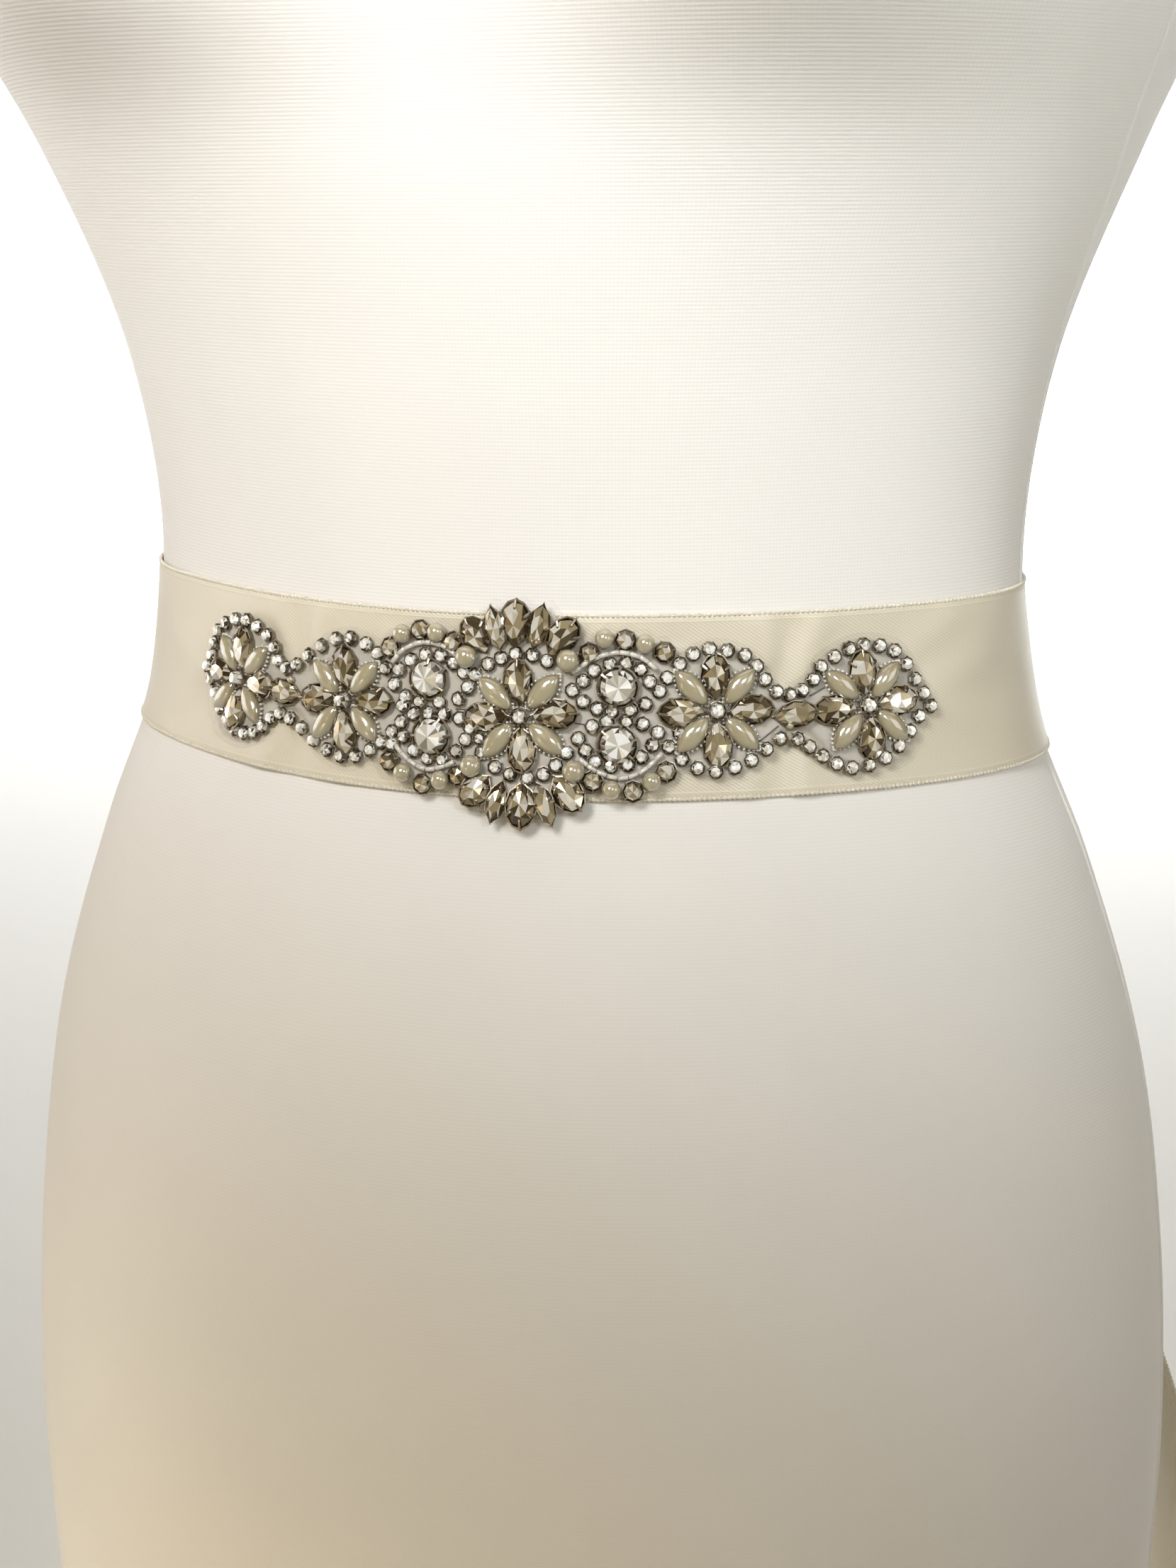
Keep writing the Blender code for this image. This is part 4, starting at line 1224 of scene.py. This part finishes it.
class SASH_OT_beads(bpy.types.Operator):
    """Tube beads in arcs, and seed beads"""

    bl_idname = "sash.beads"
    bl_label = "Beads"

    def execute(self, context):
        tubes = []
        for arc in BUGLE_ARCS:
            arc = np.array(arc)
            key = np.linspace(0, 1, len(arc))
            fine = np.linspace(0, 1, 80)
            table = np.column_stack([key, arc])
            line = np.stack([smooth(table, 1, fine), smooth(table, 2, fine)], -1)
            run = run_along(line)
            stops = np.arange(1.0, run[-1] - 0.6, TUBE_PITCH)
            s, v = (np.interp(stops, run, line[:, axis]) for axis in (0, 1))
            next_s, next_v = (np.interp(stops + 0.3, run, line[:, axis]) for axis in (0, 1))
            tubes.append(np.stack([s, v, np.degrees(np.arctan2(next_v - v, next_s - s))], -1))
        tubes = np.concatenate(tubes)
        set_copies("tube_beads", bugle(), places(tubes, TUBE_BEAD, 0.45), "bead", True)
        seeds = with_turns(SEED_BEADS)
        set_copies("seed_beads", ball(10, 8), places(seeds, SEED_BEAD), "pearl", True)
        ends = np.array(STITCHES)
        threads = between((ends[:, 2:], ends[:, :2]))
        long = np.linalg.norm(ends[:, 2:] - ends[:, :2], axis=1)
        set_copies("stitches", bugle(), places(threads, (long, 0.28, 0.28), 0.05), "thread", True)
        return {"FINISHED"}


CAMERA_PLACE = Vector((0.19005, -0.57543, 0.1098 + WAIST_Z))
CAMERA_PITCH, CAMERA_TURN, CAMERA_ROLL = 0.2361, 0.3155, -0.0058
CAMERA_LENS = 56.96
# Lamps: name, place, target, size, watts, tint, spread in degrees
LAMPS = (
    ("key", (-0.08, -0.72, 0.90), (0, 0, 0.64), (0.30, 0.20), 1.40, (0.95, 0.96, 1.0), 58),
    ("sparkle", (-0.15, -0.95, 0.82), (0, 0, 0.34), (0.10, 0.10), 0.12, (1.0, 0.93, 0.80), 50),
    ("window", (-1.7, -0.05, 0.38), (0, 0, 0.20), (1.3, 1.2), 9.4, (1.0, 0.98, 0.97)),
    ("right_fill", (1.4, -0.35, 0.60), (0, 0, 0.40), (0.8, 0.8), 2.9, (1.0, 0.98, 0.95)),
    ("right_bust", (0.60, -0.80, 0.75), (0.10, 0, 0.54), (0.2, 0.2), 0.38, (0.82, 0.92, 1.0), 50),
    ("low", (-0.45, -0.85, 0.05), (-0.05, 0, -0.06), (0.2, 0.1), 0.30, (1.0, 0.84, 0.58), 50),
    ("floor_wash", (-0.4, 2.9, 2.4), (-0.4, 2.9, 0), (3.0, 2.0), 105, (0.93, 0.95, 1.0), 115),
    ("backdrop_wash", (-0.8, 2.6, 3.2), (-1.2, 4.6, 0.4), (3.5, 1.2), 420, (0.93, 0.95, 1.0), 110),
)


def add_light(name, place, target, size, power, tint=(1, 1, 1), spread=180):
    data = bpy.data.lights.new(name, "AREA")
    data.shape = "RECTANGLE"
    data.size, data.size_y = size
    data.energy = power
    data.color = tint
    data.spread = math.radians(spread)
    lamp = bpy.data.objects.new(name, data)
    bpy.context.scene.collection.objects.link(lamp)
    lamp.location = place
    lamp.rotation_euler = (Vector(target) - Vector(place)).to_track_quat("-Z", "Y").to_euler()


def studio_world():
    """Warm dim room with bright soft panes that the stones mirror; seen directly it is plain and pale."""
    world = bpy.data.worlds.new("studio")
    world.use_nodes = True
    tree = world.node_tree
    room = tree.nodes["Background"]
    place = put(tree, "ShaderNodeTexCoord").outputs["Generated"]
    panes = put(tree, "ShaderNodeTexVoronoi", {"Vector": place, "Scale": 2.6, "Randomness": 0.9})
    feed(tree, room, "Color", (1.0, 0.77, 0.43, 1.0))
    feed(tree, room, "Strength", ramp(tree, panes.outputs["Distance"], 0.16, 0.23, 1.6, 0.08))
    plain = put(tree, "ShaderNodeBackground", {"Color": (0.90, 0.90, 0.88, 1.0), "Strength": 1.0})
    seen = put(tree, "ShaderNodeLightPath").outputs["Is Camera Ray"]
    choice = put(tree, "ShaderNodeMixShader", {"Fac": seen, 1: room.outputs[0], 2: plain.outputs[0]})
    feed(tree, tree.nodes["World Output"], "Surface", choice.outputs["Shader"])
    return world


class SASH_OT_stage(bpy.types.Operator):
    """Camera, soft studio lights, pale floor and backdrop"""

    bl_idname = "sash.stage"
    bl_label = "Stage"

    def execute(self, context):
        scene = context.scene
        data = bpy.data.cameras.new("camera")
        data.lens = CAMERA_LENS
        data.sensor_width = 36.0
        data.clip_start = 0.01
        camera = bpy.data.objects.new("camera", data)
        scene.collection.objects.link(camera)
        turn, pitch = CAMERA_TURN, CAMERA_PITCH
        level = math.cos(pitch)
        ahead = Vector((-math.sin(turn) * level, math.cos(turn) * level, -math.sin(pitch)))
        right = ahead.cross(Vector((0, 0, 1))).normalized()
        up = right.cross(ahead)
        cos, sin = math.cos(CAMERA_ROLL), math.sin(CAMERA_ROLL)
        right, up = cos * right + sin * up, cos * up - sin * right
        camera.matrix_world = Matrix((right, up, -ahead)).transposed().to_4x4()
        camera.location = CAMERA_PLACE
        scene.camera = camera
        deselect()
        bpy.ops.mesh.primitive_plane_add(size=8, location=(0, 1.2, 0))
        floor = bpy.context.object
        floor.name = "floor"
        pick(floor, lambda co: co.y > 3.9)
        for rise, run in ((0.15, 0.55), (0.45, 0.35), (0.9, 0.15), (3.5, 0.05)):
            bpy.ops.mesh.extrude_region_move(TRANSFORM_OT_translate={"value": (0, run, rise)})
        bpy.ops.object.mode_set(mode="OBJECT")
        bpy.ops.object.transform_apply(location=True, rotation=True, scale=True)
        bpy.ops.object.shade_smooth()
        pale = (0.88, 0.88, 0.84)
        paint, tree, shader = new_material("pale_floor", pale, 0.8)
        worn = noise(tree, 2.5, 3.0)
        feed(tree, shader, "Base Color", mixed(tree, worn, toned(pale, 0.95), pale))
        floor.data.materials.append(paint)
        for lamp in LAMPS:
            add_light(*lamp)
        scene.world = studio_world()
        scene.view_settings.view_transform = "Standard"
        return {"FINISHED"}


class SASH_PT_panel(bpy.types.Panel):
    """Sizes, colours and building steps of the sash"""

    bl_idname = "SASH_PT_panel"
    bl_label = "Bridal sash"
    bl_space_type = "VIEW_3D"
    bl_region_type = "UI"
    bl_category = "Sash"

    def draw(self, context):
        layout = self.layout
        for group in (context.scene.sash_sizes, context.scene.sash_colours):
            for key in group.__annotations__:
                layout.prop(group, key)
        for step in STEPS:
            layout.operator(step.bl_idname)


STEPS = (SASH_OT_form, SASH_OT_band, SASH_OT_tie, SASH_OT_backing, SASH_OT_drops, SASH_OT_pearls,
         SASH_OT_rounds, SASH_OT_chain, SASH_OT_beads, SASH_OT_stage)


def register():
    for cls in (SashSizes, SashColours, *STEPS, SASH_PT_panel):
        bpy.utils.register_class(cls)
    bpy.types.Scene.sash_sizes = bpy.props.PointerProperty(type=SashSizes)
    bpy.types.Scene.sash_colours = bpy.props.PointerProperty(type=SashColours)


def unregister():
    del bpy.types.Scene.sash_colours
    del bpy.types.Scene.sash_sizes
    for cls in reversed((SashSizes, SashColours, *STEPS, SASH_PT_panel)):
        bpy.utils.unregister_class(cls)


def main():
    register()
    make_finishes()
    for step in STEPS:
        group, action = step.bl_idname.split(".")
        getattr(getattr(bpy.ops, group), action)()
    deselect()


if __name__ == "__main__":
    main()
